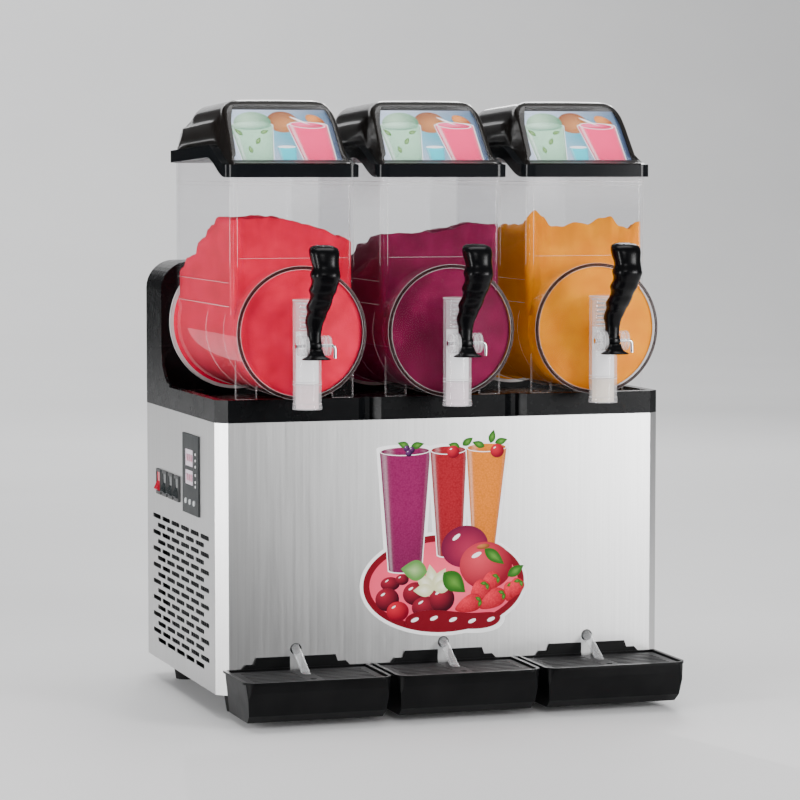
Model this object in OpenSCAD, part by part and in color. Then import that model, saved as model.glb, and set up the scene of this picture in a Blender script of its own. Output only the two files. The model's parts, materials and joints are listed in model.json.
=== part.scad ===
// Countertop slush machine with three bowls.
// Millimetres. X runs left to right, Y runs from the customer's side to the back, Z is up.
// Inside the modules Y = 0 is the cabinet's front face; place() then centres the machine on the origin.

/* [Cabinet] */
// Width of the steel cabinet
body_w = 600; // [590:2:620]
// Depth of the steel cabinet
body_d = 386; // [380:2:400]
// Height of the steel panels
panel_h = 346; // [340:2:360]
// Leg of the bevel at the two front corners
bevel = 14; // [10:1:18]
// Thickness of the steel sheet
sheet = 1.2; // [1:0.1:1.5]
// Height of the rubber feet
foot_h = 30; // [24:1:40]

/* [Bowls] */
// Distance from one bowl to the next
bowl_pitch = 198; // [194:1:204]
// Outer radius of a bowl's drum
drum_r = 84; // [82:0.5:85]
// Half the width of a bowl's upper box
box_hw = 81.5; // [79:0.5:82]
// Wall of a bowl
bowl_wall = 4; // [3:0.5:5]
// Outer radius of the cooling cylinder
evap_r = 58; // [52:1:59]
// Pitch of the auger's helix
auger_pitch = 62; // [50:1:75]

/* [Taps] */
// Outer radius of a tap's upright tube
tap_r = 18; // [17:0.5:19]

/* [Drip trays] */
// Half the width of a drip tray's rim
tray_hw = 96; // [90:1:98]
// How far a drip tray stands out from the cabinet
tray_d = 113; // [100:1:125]

/* [Hidden] */
$fn = 64;

// Cabinet levels
steel_z = foot_h;
top_z = foot_h + panel_h;
ledge_h = 29;
ledge_z = top_z + ledge_h;
half_w = body_w / 2;
gap = 0.3;
centre_y = 122;

// Top tray
tray_floor_z = top_z + 16;
lip = 12;
recess_y0 = lip + 4;
notch_hw = 15;

// Rear housing
housing_y = 299;
housing_h = 166;
housing_top = ledge_z + housing_h;
housing_r = 38;
housing_wall = 3;

// Bowls
axis_z = top_z + 114;
drum_y0 = -33;
box_y0 = 5;
box_y1 = 306;
bowl_y1 = housing_y - 6;
flange_r = 91;
flange_t = 6;
front_corner_r = 10;
back_corner_r = 14;
inner_r = drum_r - bowl_wall;
box_wall = 3;

// Lids: the rim's band steps down in an S towards the front
band_low = top_z + 325;
band_high = top_z + 350;
band_h = 16;
s_y0 = 12;
s_y1 = 104;
band_fall = 0.033;
rim_hw = box_hw + 6.5;
rim_wall = 3.5;
rim_y0 = -1;
rim_y1 = 316;
rim_web = 2.5;
lid_top = top_z + 408;
dome_wall = 2.5;
dome_y = [8, 312];
brow_y = 60;
crown_y = [72, 240];
crown_drop = 6;
nape = [268, 13];
dome_hw = [79, 77, 74, 64];
dome_step_z = [top_z + 377, top_z + 392];
s_steps = 10;

// Taps
tap_y = -55;
tap_z0 = top_z + 20;
tap_z1 = top_z + 157;
tap_bore = tap_r - 3.5;
pivot_y = -85;
pivot_z = top_z + 101;
pin_r = 2;
pin_fit = 0.08;
ear_x0 = 8.5;
ear_x1 = 20.5;
ear_r = 12.5;
arm_len = 27;
piston_r = tap_bore - 0.3;
piston_z0 = top_z + 52;
piston_z1 = top_z + 117;
spring_z1 = tap_z1 - 3;

// Cooling cylinder and auger
shaft_r = 8;
shaft_fit = 0.06;
evap_y0 = 24;
spider_y = 10;
blade_r0 = evap_r + 3;
blade_r1 = inner_r - 3;
blade_t = 7;
bulkhead_y = housing_y + 4;
gearbox_y = bulkhead_y + 14;
shaft_end = gearbox_y + 24;

// Drip trays
rim_z = top_z - 313;
tray_z0 = 9.5;
tray_wall = 2.5;
tray_corner_r = 17;
notch_w = 17;
tray_rise = [24, 12, 4, 2];
tray_bend_z = 10;
tray_lip_z = 14;
tray_lean = [2, 8];
grille_t = 3;
grille_top = rim_z - 2.5;
grille_y0 = -tray_d + 7;
grille_y1 = -8;
hook_x = [32, 48];
hook_z = [40, 46];

// Drain tubes slope down from the front panel
drain_r = 5.5;
drain_z = top_z - 290;
drain_drop = 28;
drain_out = 66;
drain_tip_z = grille_top + 1.5;

// Side vents
slot_l = 45;
slot_h = 6;
slot_pitch = 52.5;
row_pitch = 11.2;
vent_rows = 16;
vent_y = 198.5;
vent_top = top_z - 151;

// Controls, on the left side
fascia_y0 = 90;
fascia_w = 84;
fascia_z0 = top_z - 128;
fascia_h = 104;
fascia_t = 2.5;
button_r = 3.6;
button_y = [110, 132, 154];
button_z = top_z - 112;
window_y = 119;
window_w = 41;
window_z = [top_z - 66, top_z - 90];
window_h = [22, 19];
switch_z = top_z - 102;
switch_y = [310, 276, 242, 208];
rocker_r = 13.6;
rocker_w = 18;
rocker_tilt = 12;
rocker_x = 2.5;
switch_h = 34;
switch_w = 25;

// Rear fittings
gland_x = 190;
gland_z = steel_z + 50;
gland_r = 10;
gland_nut_r = 15;
screw_r = 2;
rear_screws = [for (x = [-280, -95, 95, 280], z = [steel_z + 24, top_z - 14]) [x, z]];
evap_neck_r = 28;

// Compressor and condenser, standing on the base pan
pan_t = 1.5;
compressor_x = 150;
compressor_y = 190;
compressor_r = 62;
compressor_z0 = steel_z + pan_t;
cond_x0 = -half_w + 14;
cond_x1 = -half_w + 54;
cond_y0 = 60;
cond_y1 = 330;
cond_z0 = 46;
cond_z1 = 234;
fan_y = (cond_y0 + cond_y1) / 2;
fan_z = (cond_z0 + cond_z1) / 2;
fan_r = 84;
shroud_x = cond_x1 + 12;
hub_x = shroud_x + 6;

// Coil spring of a tap
coil_turns = 6;
coil_r = 9.5;
coil_wire = 0.9;
coil_sides = 6;
coil_steps = 14;

// Stations of a handle's grip: height above the cabinet, place in Y, half the width, half the depth
grip = [
    [92, -86, 7.8, 8], [111, -86, 7.9, 9], [125, -86.5, 9.4, 10], [140, -95, 13, 11.5],
    [157, -113, 15.2, 14], [190, -138, 18, 17], [207, -133, 16.2, 18], [223, -130, 18, 18]];

function bowl_x(n) = (n - 2) * bowl_pitch;
function inset_bevel(d) = bevel - d * (2 - sqrt(2));
function outline(d) = let (w = half_w - d, b = inset_bevel(d), y1 = body_d - d)
    [[-w, d + b], [-w + b, d], [w - b, d], [w, d + b], [w, y1], [-w, y1]];
// Height of the lid band's upper edge along the depth of a bowl
function band_z(y) =
    y < s_y0 ? band_low :
    y < s_y1 ? band_low + (band_high - band_low) * (1 - cos(180 * (y - s_y0) / (s_y1 - s_y0))) / 2 :
    band_high - (y - s_y1) * band_fall;
function band_line(dz, y0, y1) = concat(
    [[y0, band_z(y0) + dz]],
    [for (i = [0 : s_steps]) let (y = s_y0 + (s_y1 - s_y0) * i / s_steps) [y, band_z(y) + dz]],
    [[y1, band_z(y1) + dz]]);
function reversed(list) = [for (i = [len(list) - 1 : -1 : 0]) list[i]];

// Moves the machine from its working frame to the centre of its footprint
module place() translate([0, -centre_y, 0]) children();

// An outline in Y and Z, drawn out along X from -w to w
module across(w, points) translate([-w, 0, 0]) rotate([90, 0, 90]) linear_extrude(2 * w) polygon(points);

// An outline in X and Z, drawn out along Y
module along(y0, y1, points)
    translate([0, y1, 0]) rotate([90, 0, 0]) linear_extrude(y1 - y0) polygon(points);

module rod_y(r, y0, y1) translate([0, y0, 0]) rotate([-90, 0, 0]) cylinder(r = r, h = y1 - y0);
module rod_x(r, x0, x1) translate([x0, 0, 0]) rotate([0, 90, 0]) cylinder(r = r, h = x1 - x0);
module block(lo, hi) translate(lo) cube(hi - lo);
module both_sides() { children(); mirror([1, 0, 0]) children(); }

// Plan of a bowl or lid: round corners, wider at the front
module rounded_plan(hw, y0, y1, rf, rb) {
    translate([-hw, y0 + rf]) square([2 * hw, y1 - y0 - rf - rb]);
    translate([-hw + rf, y0]) square([2 * (hw - rf), rf + 1]);
    translate([-hw + rb, y1 - rb - 1]) square([2 * (hw - rb), rb + 1]);
    for (s = [-1, 1]) {
        translate([s * (hw - rf), y0 + rf]) circle(r = rf);
        translate([s * (hw - rb), y1 - rb]) circle(r = rb);
    }
}

// Round pipe, standing and bent
module pipe_z(x, y, z0, z1, r) translate([x, y, z0]) cylinder(r = r, h = z1 - z0, $fn = 24);
module elbow(r, bend, turn) rotate_extrude(angle = turn, $fn = 48) translate([bend, 0]) circle(r = r, $fn = 24);

// ---------------------------------------------------------------- cabinet

module chassis() color("silver") {
    pan = sheet + gap;
    pan_lip = 9;
    plate = 2;
    post_w = 20;
    post_x = half_w - post_w;
    post_y = [24, body_d - 6];
    deck = [top_z - plate, top_z];
    deck_rim = 20;
    wall_top = ledge_z + 140;
    difference() {
        translate([0, 0, steel_z]) linear_extrude(pan_lip) polygon(outline(pan));
        translate([0, 0, steel_z + pan_t]) linear_extrude(pan_lip) polygon(outline(pan + pan_t));
    }
    both_sides() for (y = post_y)
        let (front = y == post_y[0], side_y = front ? y : y - post_w, face_y = front ? y : y - plate) {
        block([-post_x, side_y, steel_z + 1], [-post_x + plate, side_y + post_w, top_z - 1]);
        block([-post_x, face_y, steel_z + 1], [-post_x + post_w, face_y + plate, top_z - 1]);
    }
    difference() {
        block([-post_x, post_y[0], deck[0]], [post_x, post_y[1], deck[1]]);
        block([-post_x + deck_rim, post_y[0] + deck_rim, deck[0] - 1],
            [post_x - deck_rim, bulkhead_y - plate, deck[1] + 1]);
        block([-post_x + deck_rim, bulkhead_y + 2 * plate, deck[0] - 1],
            [post_x - deck_rim, post_y[1] - deck_rim, deck[1] + 1]);
    }
    difference() {
        block([-half_w + 14, bulkhead_y, top_z - 1], [half_w - 14, bulkhead_y + plate, wall_top]);
        for (n = [1 : 3]) translate([bowl_x(n), 0, axis_z]) rod_y(20, bulkhead_y - 1, bulkhead_y + plate + 1);
    }
    for (n = [1 : 3]) translate([bowl_x(n) - 48, 0, 0])
        block([-1, bulkhead_y + 1, top_z - 1], [1, bulkhead_y + 28, top_z + 60]);
}

module front_panel() color("gainsboro") difference() {
    translate([0, 0, steel_z]) linear_extrude(panel_h) difference() {
        polygon(outline(0));
        polygon(outline(sheet));
        translate([-half_w - 1, bevel + 0.01]) square([body_w + 2, body_d]);
    }
    for (n = [1 : 3]) translate([bowl_x(n), 0, 0]) {
        translate([0, 0, drain_z]) rod_y(drain_r + 2, -1, sheet + 1);
        both_sides() block([hook_x[0] - 1, -1, hook_z[0] - 1], [hook_x[1] + 1, sheet + 1, hook_z[1] + 1]);
    }
}

module vent_slots() for (row = [0 : vent_rows - 1]) {
    count = row % 2 == 0 ? 6 : 5;
    for (i = [0 : count - 1])
        translate([vent_y + (i - (count - 1) / 2) * slot_pitch, vent_top - row * row_pitch]) {
            square([slot_l - slot_h, slot_h], center = true);
            for (s = [-1, 1]) translate([s * (slot_l - slot_h) / 2, 0]) circle(d = slot_h, $fn = 24);
        }
}

// Side panels are drawn in Y and Z and stood up at their place in X
module side_sheet(x) translate([x, 0, 0]) rotate([90, 0, 90]) linear_extrude(sheet) difference() {
    translate([bevel + gap, steel_z]) square([body_d - bevel - gap - sheet - gap, panel_h]);
    vent_slots();
    children();
}

module left_panel() color("gainsboro") side_sheet(-half_w) {
    for (y = switch_y) translate([y, switch_z]) square([22, switch_h - 4], center = true);
    translate([fascia_y0 + 8, fascia_z0 + 8]) square([fascia_w - 16, fascia_h - 16]);
}

module right_panel() color("gainsboro") side_sheet(half_w - sheet) union() {}

module rear_panel() color("gainsboro") {
    louvre = [34, 6];
    louvre_z = steel_z + 150;
    y0 = body_d - sheet;
    difference() {
        block([-half_w + sheet, y0, steel_z], [half_w - sheet, body_d, top_z]);
        for (row = [0 : 7], i = [-4 : 4])
            translate([i * 46 + (row % 2) * 16 - 8, 0, louvre_z + row * 14])
                block([-louvre[0] / 2, y0 - 1, -louvre[1] / 2], [louvre[0] / 2, body_d + 1, louvre[1] / 2]);
        translate([gland_x, 0, gland_z]) rod_y(gland_r + 0.2, y0 - 1, body_d + 1);
        for (p = rear_screws) translate([p[0], 0, p[1]]) rod_y(screw_r + 0.1, y0 - 1, body_d + 1);
    }
}

// Black moulding on top of the cabinet, with a lip round a shallow basin and a notch between bowls;
// a small clip for each bowl is a solid of its own on the basin floor
module top_tray() color("#1b1c1e") {
    wall = 3;
    clip_x = [-78, -58];
    clip_y = [240, 262];
    clip_h = 9;
    clip_seat = 0.05;
    drain_hole = [60, 4];
    difference() {
        translate([0, 0, top_z]) linear_extrude(ledge_h) difference() {
            polygon(outline(0));
            for (s = [-1, 1]) translate([s * bowl_pitch / 2, 0])
                polygon([[-notch_hw, -1], [-notch_hw, 0], [-3, lip], [3, lip], [notch_hw, 0], [notch_hw, -1]]);
        }
        block([-half_w + lip, recess_y0, tray_floor_z], [half_w - lip, housing_y, ledge_z + 1]);
        block([-half_w + wall, recess_y0 + wall, top_z - 1],
            [half_w - wall, housing_y - wall, tray_floor_z - wall]);
        block([-half_w + 3 * wall, housing_y + wall, top_z - 1],
            [half_w - 3 * wall, body_d - wall, ledge_z + 1]);
        for (n = [1 : 3]) translate([bowl_x(n), drain_hole[0], top_z]) cylinder(r = drain_hole[1], h = ledge_h);
    }
    for (n = [1 : 3]) translate([bowl_x(n), 0, tray_floor_z])
        block([clip_x[0], clip_y[0], clip_seat], [clip_x[1], clip_y[1], clip_h]);
}

function housing_front(d) = let (w = half_w - d, r = housing_r - d, z = housing_top - d) concat(
    [[-w, ledge_z - (d > 0 ? 1 : 0)]],
    [for (a = [180 : -10 : 90]) [-w + r + r * cos(a), z - r + r * sin(a)]],
    [for (a = [90 : -10 : 0]) [w - r + r * cos(a), z - r + r * sin(a)]],
    [[w, ledge_z - (d > 0 ? 1 : 0)]]);

// Black cover over the gear motors, with a cheek curving forward at each side
module rear_housing() color("#1b1c1e") {
    cheek_r = 44;
    cheek_t = 4;
    cheek_z = ledge_z + cheek_t + cheek_r;
    cheek_y = housing_y - cheek_r;
    louvre = [30, 5];
    difference() {
        along(housing_y, body_d, housing_front(0));
        along(housing_y + housing_wall, body_d - housing_wall, housing_front(housing_wall));
        for (n = [1 : 3]) translate([bowl_x(n), 0, axis_z])
            rod_y(evap_neck_r + 0.3, housing_y - 1, housing_y + housing_wall + 1);
        for (row = [0 : 4], i = [-5 : 5])
            translate([i * 44, body_d, ledge_z + 50 + row * 14])
                block([-louvre[0] / 2, -housing_wall - 1, -louvre[1] / 2], [louvre[0] / 2, 1, louvre[1] / 2]);
    }
    both_sides() difference() {
        block([half_w - cheek_t, cheek_y, ledge_z], [half_w, housing_y + 0.5, cheek_z]);
        translate([0, cheek_y, cheek_z]) rod_x(cheek_r, half_w - cheek_t - 2, half_w + 1);
        block([half_w - cheek_t - 2, cheek_y - 1, cheek_z], [half_w + 1, housing_y - 0.1, cheek_z + cheek_r]);
    }
}

module feet() color("#202020") for (x = [-258, 258], y = [60, 335]) translate([x, y, 0]) {
    pad_h = 6;
    cylinder(r1 = 15, r2 = 19, h = foot_h - pad_h);
    translate([0, 0, foot_h - pad_h]) cylinder(r = 19, h = pad_h);
}

// ---------------------------------------------------------------- controls

module control_fascia() color("#8c9294") difference() {
    x0 = -half_w - fascia_t;
    block([x0, fascia_y0, fascia_z0], [-half_w, fascia_y0 + fascia_w, fascia_z0 + fascia_h]);
    for (i = [0, 1])
        block([x0 - 1, window_y, window_z[i]], [-half_w + 1, window_y + window_w, window_z[i] + window_h[i]]);
    for (y = button_y) translate([0, y, button_z]) rod_x(button_r + 0.2, x0 - 1, -half_w + 1);
}

module display_windows() color("#e8dfe6") for (i = [0, 1]) {
    fit = 0.05;
    block([-half_w - 2, window_y + fit, window_z[i] + fit],
        [-half_w + 1, window_y + window_w - fit, window_z[i] + window_h[i] - fit]);
}

module button(i) color("#d8dcdc") translate([-half_w, button_y[i], button_z]) {
    proud = 1.4;
    flange = [0.6, 1.5];
    rod_x(button_r, -fascia_t - proud, flange[1]);
    rod_x(button_r + 1.4, flange[0], flange[1]);
}

module switch_housings() color("#3a3d3e") for (y = switch_y) translate([-half_w, y, switch_z]) {
    frame_t = 3;
    shell = [10.8, switch_h / 2 - 2.8];
    well = [rocker_w / 2 + 0.5, 13];
    difference() {
        union() {
            block([-frame_t, -switch_w / 2, -switch_h / 2], [0, switch_w / 2, switch_h / 2]);
            block([0, -shell[0], -shell[1]], [22, shell[0], shell[1]]);
        }
        block([-frame_t - 1, -well[0], -well[1]], [18, well[0], well[1]]);
        translate([rocker_x, well[0], 0]) rotate([90, 0, 0]) cylinder(r = rocker_r + 0.3, h = 2 * well[0]);
    }
}

// A rocker turns about a line just behind the panel's face, and rests with its top pressed in
module rocker(i, tint) color(tint) translate([-half_w + rocker_x, switch_y[i], switch_z])
    rotate([0, rocker_tilt, 0]) intersection() {
        translate([0, rocker_w / 2, 0]) rotate([90, 0, 0]) cylinder(r = rocker_r, h = rocker_w);
        along(-rocker_w / 2, rocker_w / 2, [
            [-8, -rocker_r - 1], [-4.5, 0], [-8, rocker_r + 1], [6, rocker_r + 1], [6, -rocker_r - 1]]);
    }

// ---------------------------------------------------------------- machinery in the cabinet

module compressor() color("#141414") translate([compressor_x, compressor_y, compressor_z0]) {
    base_z = 16;
    fillet = 14;
    shell_z = 110;
    crown = 42;
    plate = [80, 60, 5];
    foot = [68, 48];
    mount_r = 5;
    rotate_extrude() polygon(concat([[0, base_z], [compressor_r - fillet, base_z]],
        [for (a = [-80 : 16 : 0]) [compressor_r - fillet + fillet * cos(a), base_z + fillet * (1 + sin(a))]],
        [for (a = [0 : 15 : 90]) [compressor_r * cos(a), shell_z + crown * sin(a)]]));
    difference() {
        block([-plate[0], -plate[1], base_z - plate[2] + 1], [plate[0], plate[1], base_z + 1]);
        for (x = [-foot[0], foot[0]], y = [-foot[1], foot[1]])
            translate([x, y, 0]) cylinder(r = mount_r + 0.1, h = 30);
    }
    for (x = [-foot[0], foot[0]], y = [-foot[1], foot[1]]) translate([x, y, 0]) {
        cylinder(r = 2 * mount_r + 1, h = base_z - plate[2] + 1);
        cylinder(r = mount_r, h = base_z + 4);
    }
    block([48, -22, 50], [76, 22, 96]);
    for (stub = [[-30, 40, 120, 150], [-20, 0, 140, 160]])
        translate([stub[0], stub[1], stub[2]]) cylinder(r = 7.5, h = stub[3] - stub[2]);
}

// A block of fins with the tube's bends standing out at both ends
module condenser() color("#aeb4b8") {
    fin_pitch = 10;
    fin_gap = 4;
    fin_depth = 8;
    tube_pitch = 30;
    difference() {
        block([cond_x0, cond_y0, cond_z0], [cond_x1, cond_y1, cond_z1]);
        for (y = [cond_y0 + fin_pitch : fin_pitch : cond_y1 - fin_pitch])
            block([cond_x0 - 1, y - fin_gap / 2, cond_z0 + fin_gap],
                [cond_x0 + fin_depth, y + fin_gap / 2, cond_z1 - fin_gap]);
    }
    for (row = [0 : 4]) translate([cond_x0 + 20, 0, cond_z0 + 28 + row * tube_pitch]) {
        translate([0, cond_y0, 0]) rotate([0, -90, 0]) rotate([0, 0, 180]) elbow(4, 13, 180);
        translate([0, cond_y1, 0]) rotate([0, 90, 0]) elbow(4, 13, 180);
    }
    for (y = [cond_y0, cond_y1 - 2])
        block([cond_x1 - 2, y, compressor_z0], [shroud_x, y + 2, cond_z1]);
}

module fan_motor() color("#2a2d30") {
    motor_x = hub_x + 30;
    arm_x = hub_x + 40;
    arm_t = 4;
    arm_r = [fan_r + 7, fan_r + 12];
    difference() {
        block([shroud_x, cond_y0, cond_z0], [shroud_x + 2, cond_y1, cond_z1]);
        translate([0, fan_y, fan_z]) rod_x(fan_r + 4, shroud_x - 1, shroud_x + 3);
    }
    translate([0, fan_y, fan_z]) {
        rod_x(30, motor_x, motor_x + 52);
        rod_x(3, hub_x + 2, motor_x + 1);
        for (a = [45 : 90 : 315]) rotate([a, 0, 0]) {
            block([arm_x, -3, 28], [arm_x + arm_t, 3, arm_r[1]]);
            block([shroud_x + 1, -3, arm_r[0]], [arm_x + arm_t, 3, arm_r[1]]);
        }
    }
}

module fan_blades() color("#3c4043") translate([hub_x, fan_y, fan_z]) {
    hub_h = 22;
    blade_count = 5;
    blade = [2, 40];
    difference() {
        union() {
            rod_x(17, 0, hub_h);
            for (i = [1 : blade_count]) rotate([i * 360 / blade_count, 0, 0])
                translate([hub_h / 2, 0, 0]) rotate([0, 0, 28])
                    block([-blade[0] / 2, -blade[1] / 2, 10], [blade[0] / 2, blade[1] / 2, fan_r]);
        }
        rod_x(3.06, 1.5, hub_h + 1);
    }
}

// A line from the compressor feeds each cooling cylinder from behind; another runs to the condenser
module refrigerant_pipes() color("#b87333") {
    feed_y = bulkhead_y + 8;
    feed_z = axis_z - 15;
    feed_x = 52;
    suction_x = compressor_x - 30;
    suction_y = compressor_y + 40;
    main_z = 330;
    main_r = 6;
    wide_r = 5;
    thin_r = 4;
    end_over = 6;
    pipe_z(suction_x, suction_y, compressor_z0 + 150, main_z + main_r + 1, wide_r);
    translate([suction_x, 0, main_z]) rod_y(thin_r + 0.2, suction_y, feed_y);
    translate([0, feed_y, main_z])
        rod_x(main_r, bowl_x(1) + feed_x - main_r - 3, bowl_x(3) + feed_x + main_r + 3);
    for (n = [1 : 3]) translate([bowl_x(n), 0, 0]) {
        pipe_z(feed_x, feed_y, main_z, feed_z + end_over, thin_r);
        translate([0, feed_y, feed_z]) rod_x(thin_r - 0.8, 0, feed_x);
        translate([0, 0, feed_z]) rod_y(thin_r + 0.5, bowl_y1 - 8, feed_y + 5.5);
    }
    hot_x = cond_x0 + 20;
    hot_y = cond_y1 - 40;
    hot_z = cond_z1 + 10;
    turn_x = hot_x + 80;
    stub_x = compressor_x - 20;
    drier = [11, -20, 50];
    pipe_z(hot_x, hot_y, cond_z1, hot_z + end_over, wide_r);
    translate([0, hot_y, hot_z]) rod_x(thin_r, hot_x, turn_x);
    translate([turn_x, 0, hot_z]) rod_y(wide_r, compressor_y - end_over, hot_y + end_over);
    translate([0, compressor_y, hot_z]) rod_x(thin_r, turn_x, stub_x);
    pipe_z(stub_x, compressor_y, compressor_z0 + 160, hot_z + end_over, wide_r);
    translate([0, compressor_y, hot_z]) rod_x(drier[0], drier[1], drier[2]);
}

module control_box() color("#c9cdd0") translate([-half_w, 0, 0]) {
    lo = [26, 82, 250];
    hi = [78, 186, 362];
    wall = 2;
    board_x = lo[0] + wall;
    difference() {
        block(lo, hi);
        block([lo[0] - wall, lo[1] + wall, lo[2] + wall], [hi[0] - wall, hi[1] - wall, hi[2] - wall]);
    }
    block([board_x, lo[1] + 1, lo[2] + 6], [board_x + wall, hi[1] - 1, hi[2] - 6]);
    for (y = [100, 130, 160]) block([board_x + wall, y - 8, lo[2] + 30], [board_x + 16, y + 8, lo[2] + 50]);
    block([60, 120, hi[2] - 1], [70, 150, top_z - 1]);
}

module cord_gland() color("#26282a") translate([gland_x, body_d, gland_z]) difference() {
    union() {
        rod_y(gland_r, -12, 0);
        for (nut = [[-12, -2], [0, 5]])
            translate([0, nut[0], 0]) rotate([-90, 0, 0])
                cylinder(r = gland_nut_r, h = nut[1] - nut[0], $fn = 6);
        rod_y(gland_r + 1.5, 5, 12);
    }
    rod_y(4.5, -20, 20);
}

module screws() color("silver") for (p = rear_screws) translate([p[0], body_d, p[1]]) difference() {
    head_r = 4.2;
    slot = 0.6;
    union() {
        rod_y(screw_r, -4, 0);
        rod_y(head_r, 0, 2.2);
    }
    block([-slot, 1.2, -3], [slot, 3, 3]);
    block([-3, 1.2, -slot], [3, 3, slot]);
}

// Cooling cylinders, open behind, each with a sleeve in front that carries the auger's shaft
module evaporators() color("#c4c8cb") for (n = [1 : 3]) translate([bowl_x(n), 0, axis_z]) difference() {
    wall = 2;
    nose = 12;
    union() {
        rod_y(evap_r, evap_y0, bowl_y1 + 4);
        rod_y(75, bowl_y1 + 2, housing_y);
        rod_y(evap_neck_r, housing_y - 1, bulkhead_y);
    }
    rod_y(evap_r - wall, evap_y0 + nose, bowl_y1 + 1);
    rod_y(evap_neck_r - 6, bowl_y1, bulkhead_y + 1);
    rod_y(shaft_r + shaft_fit, evap_y0 - 1, evap_y0 + nose + 8);
}

module gear_motors() color("#4a4f54") for (n = [1 : 3]) translate([bowl_x(n), 0, axis_z]) {
    box_t = 38;
    box = [[-42, -44], [42, 40]];
    difference() {
        block([box[0][0], gearbox_y, box[0][1]], [box[1][0], gearbox_y + box_t, box[1][1]]);
        rod_y(shaft_r + shaft_fit, gearbox_y - 1, shaft_end + 2);
    }
    for (x = [box[0][0] + 6, box[1][0] - 6], z = [box[0][1] + 6, box[1][1] - 6])
        translate([x, 0, z]) rod_y(4, bulkhead_y + 2, gearbox_y + 1);
    rod_y(31, gearbox_y + box_t - 1, body_d - housing_wall - 3);
}

// Cut level at the tip, just above the drip grille
module drain_tubes() color([0.85, 0.88, 0.9, 0.5]) for (n = [1 : 3]) translate([bowl_x(n), 0, 0]) difference() {
    inner_end = 30;
    translate([0, 0, drain_z]) rotate([drain_drop, 0, 0]) difference() {
        rod_y(drain_r, -drain_out, inner_end);
        rod_y(drain_r - 1.4, -drain_out - 1, inner_end + 1);
    }
    block([-drain_out, -2 * drain_out, drain_tip_z - drain_out], [drain_out, 0, drain_tip_z]);
}

module bowl_gaskets() color("white") for (n = [1 : 3]) translate([bowl_x(n), 0, axis_z]) difference() {
    rod_y(flange_r, bowl_y1, housing_y);
    rod_y(flange_r - 9, bowl_y1 - 1, housing_y + 1);
}

// ---------------------------------------------------------------- bowls and taps

module box_form(d, top) intersection() {
    translate([0, 0, axis_z - 1]) linear_extrude(300)
        rounded_plan(box_hw - d, box_y0 + d, box_y1 - d, front_corner_r - d, back_corner_r - d);
    across(box_hw + 1, concat(
        [[box_y0 - 1, axis_z]], band_line(top, box_y0 - 1, box_y1 + 1),
        [[box_y1 - 3 - d, housing_top + 26], [bowl_y1 - d, housing_top + 12], [bowl_y1 - d, axis_z]]));
}

module tap_body() {
    bridge_w = 13;
    foot_z = ledge_z + 13;
    translate([0, tap_y, tap_z0]) cylinder(r = tap_r, h = tap_z1 - tap_z0);
    translate([0, tap_y, tap_z0]) cylinder(r = tap_r + 0.8, h = 5);
    block([-bridge_w, tap_y + 4, foot_z], [bridge_w, drum_y0 + 1, tap_z1 - 6]);
    both_sides() {
        translate([0, pivot_y, pivot_z]) rod_x(ear_r, ear_x0, ear_x1);
        block([ear_x0, pivot_y, pivot_z - 5], [ear_x1 - 5, tap_y - 4, pivot_z + 8]);
    }
}

module tap_hollow() {
    port_r = 10;
    slot_hw = 5.2;
    translate([0, tap_y, tap_z0 - 1]) cylinder(r = tap_bore, h = spring_z1 - tap_z0 + 1);
    translate([0, 0, top_z + 64]) rod_y(port_r, tap_y, drum_y0 + bowl_wall + 1);
    block([-slot_hw, tap_y - tap_r - 1, pivot_z - 7], [slot_hw, tap_y, pivot_z + 18]);
    translate([0, pivot_y, pivot_z]) rod_x(pin_r + pin_fit, -ear_x1 - 10, ear_x1 + 10);
}

module bowl(n) color([0.82, 0.87, 0.9, 0.35]) translate([bowl_x(n), 0, 0]) {
    leg_x = [50, 77];
    leg_y = [2, 6];
    difference() {
        union() {
            box_form(0, -rim_web - 0.2);
            translate([0, 0, axis_z]) rod_y(drum_r, drum_y0, bowl_y1);
            intersection() {
                translate([0, 0, axis_z]) rod_y(flange_r, bowl_y1 - flange_t, bowl_y1);
                block([-flange_r - 9, bowl_y1 - 20, ledge_z + 0.6],
                    [flange_r + 9, bowl_y1 + 1, axis_z + flange_r + 9]);
            }
            both_sides() block([leg_x[0], leg_y[0], ledge_z + 0.2], [leg_x[1], leg_y[1], axis_z - 30]);
            tap_body();
        }
        box_form(box_wall, 30);
        translate([0, 0, axis_z]) rod_y(inner_r, drum_y0 + bowl_wall, bowl_y1 + 1);
        tap_hollow();
    }
}

// White valve piston: the handle's arm lifts it and the spring pushes it down
module tap_piston(n) color("white") translate([bowl_x(n), tap_y, 0]) difference() {
    cup_h = 24;
    slot_hw = 5.6;
    translate([0, 0, piston_z0]) cylinder(r = piston_r, h = piston_z1 - piston_z0);
    translate([0, 0, piston_z0 - 1]) cylinder(r = piston_r - 3, h = cup_h);
    block([-slot_hw, -piston_r - 1, pivot_z - 9], [slot_hw, 3, pivot_z + 4.4]);
    translate([0, 0, piston_z1 - 2]) cylinder(r = 5.5, h = 3);
}

module tap_pin(n) color("#d0d4d8") translate([bowl_x(n), pivot_y, pivot_z]) {
    end_x = ear_x1 + 2;
    bend = 5;
    hook_l = 11;
    rod_x(pin_r, -end_x, end_x);
    translate([end_x, 0, -bend]) rotate([90, 0, 0])
        rotate_extrude(angle = 90, $fn = 48) translate([bend, 0]) circle(r = pin_r, $fn = 24);
    translate([end_x + bend, 0, -bend - hook_l]) cylinder(r = pin_r, h = hook_l, $fn = 24);
    rod_x(pin_r + 1.4, -end_x - 1, -end_x + 1);
}

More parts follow.
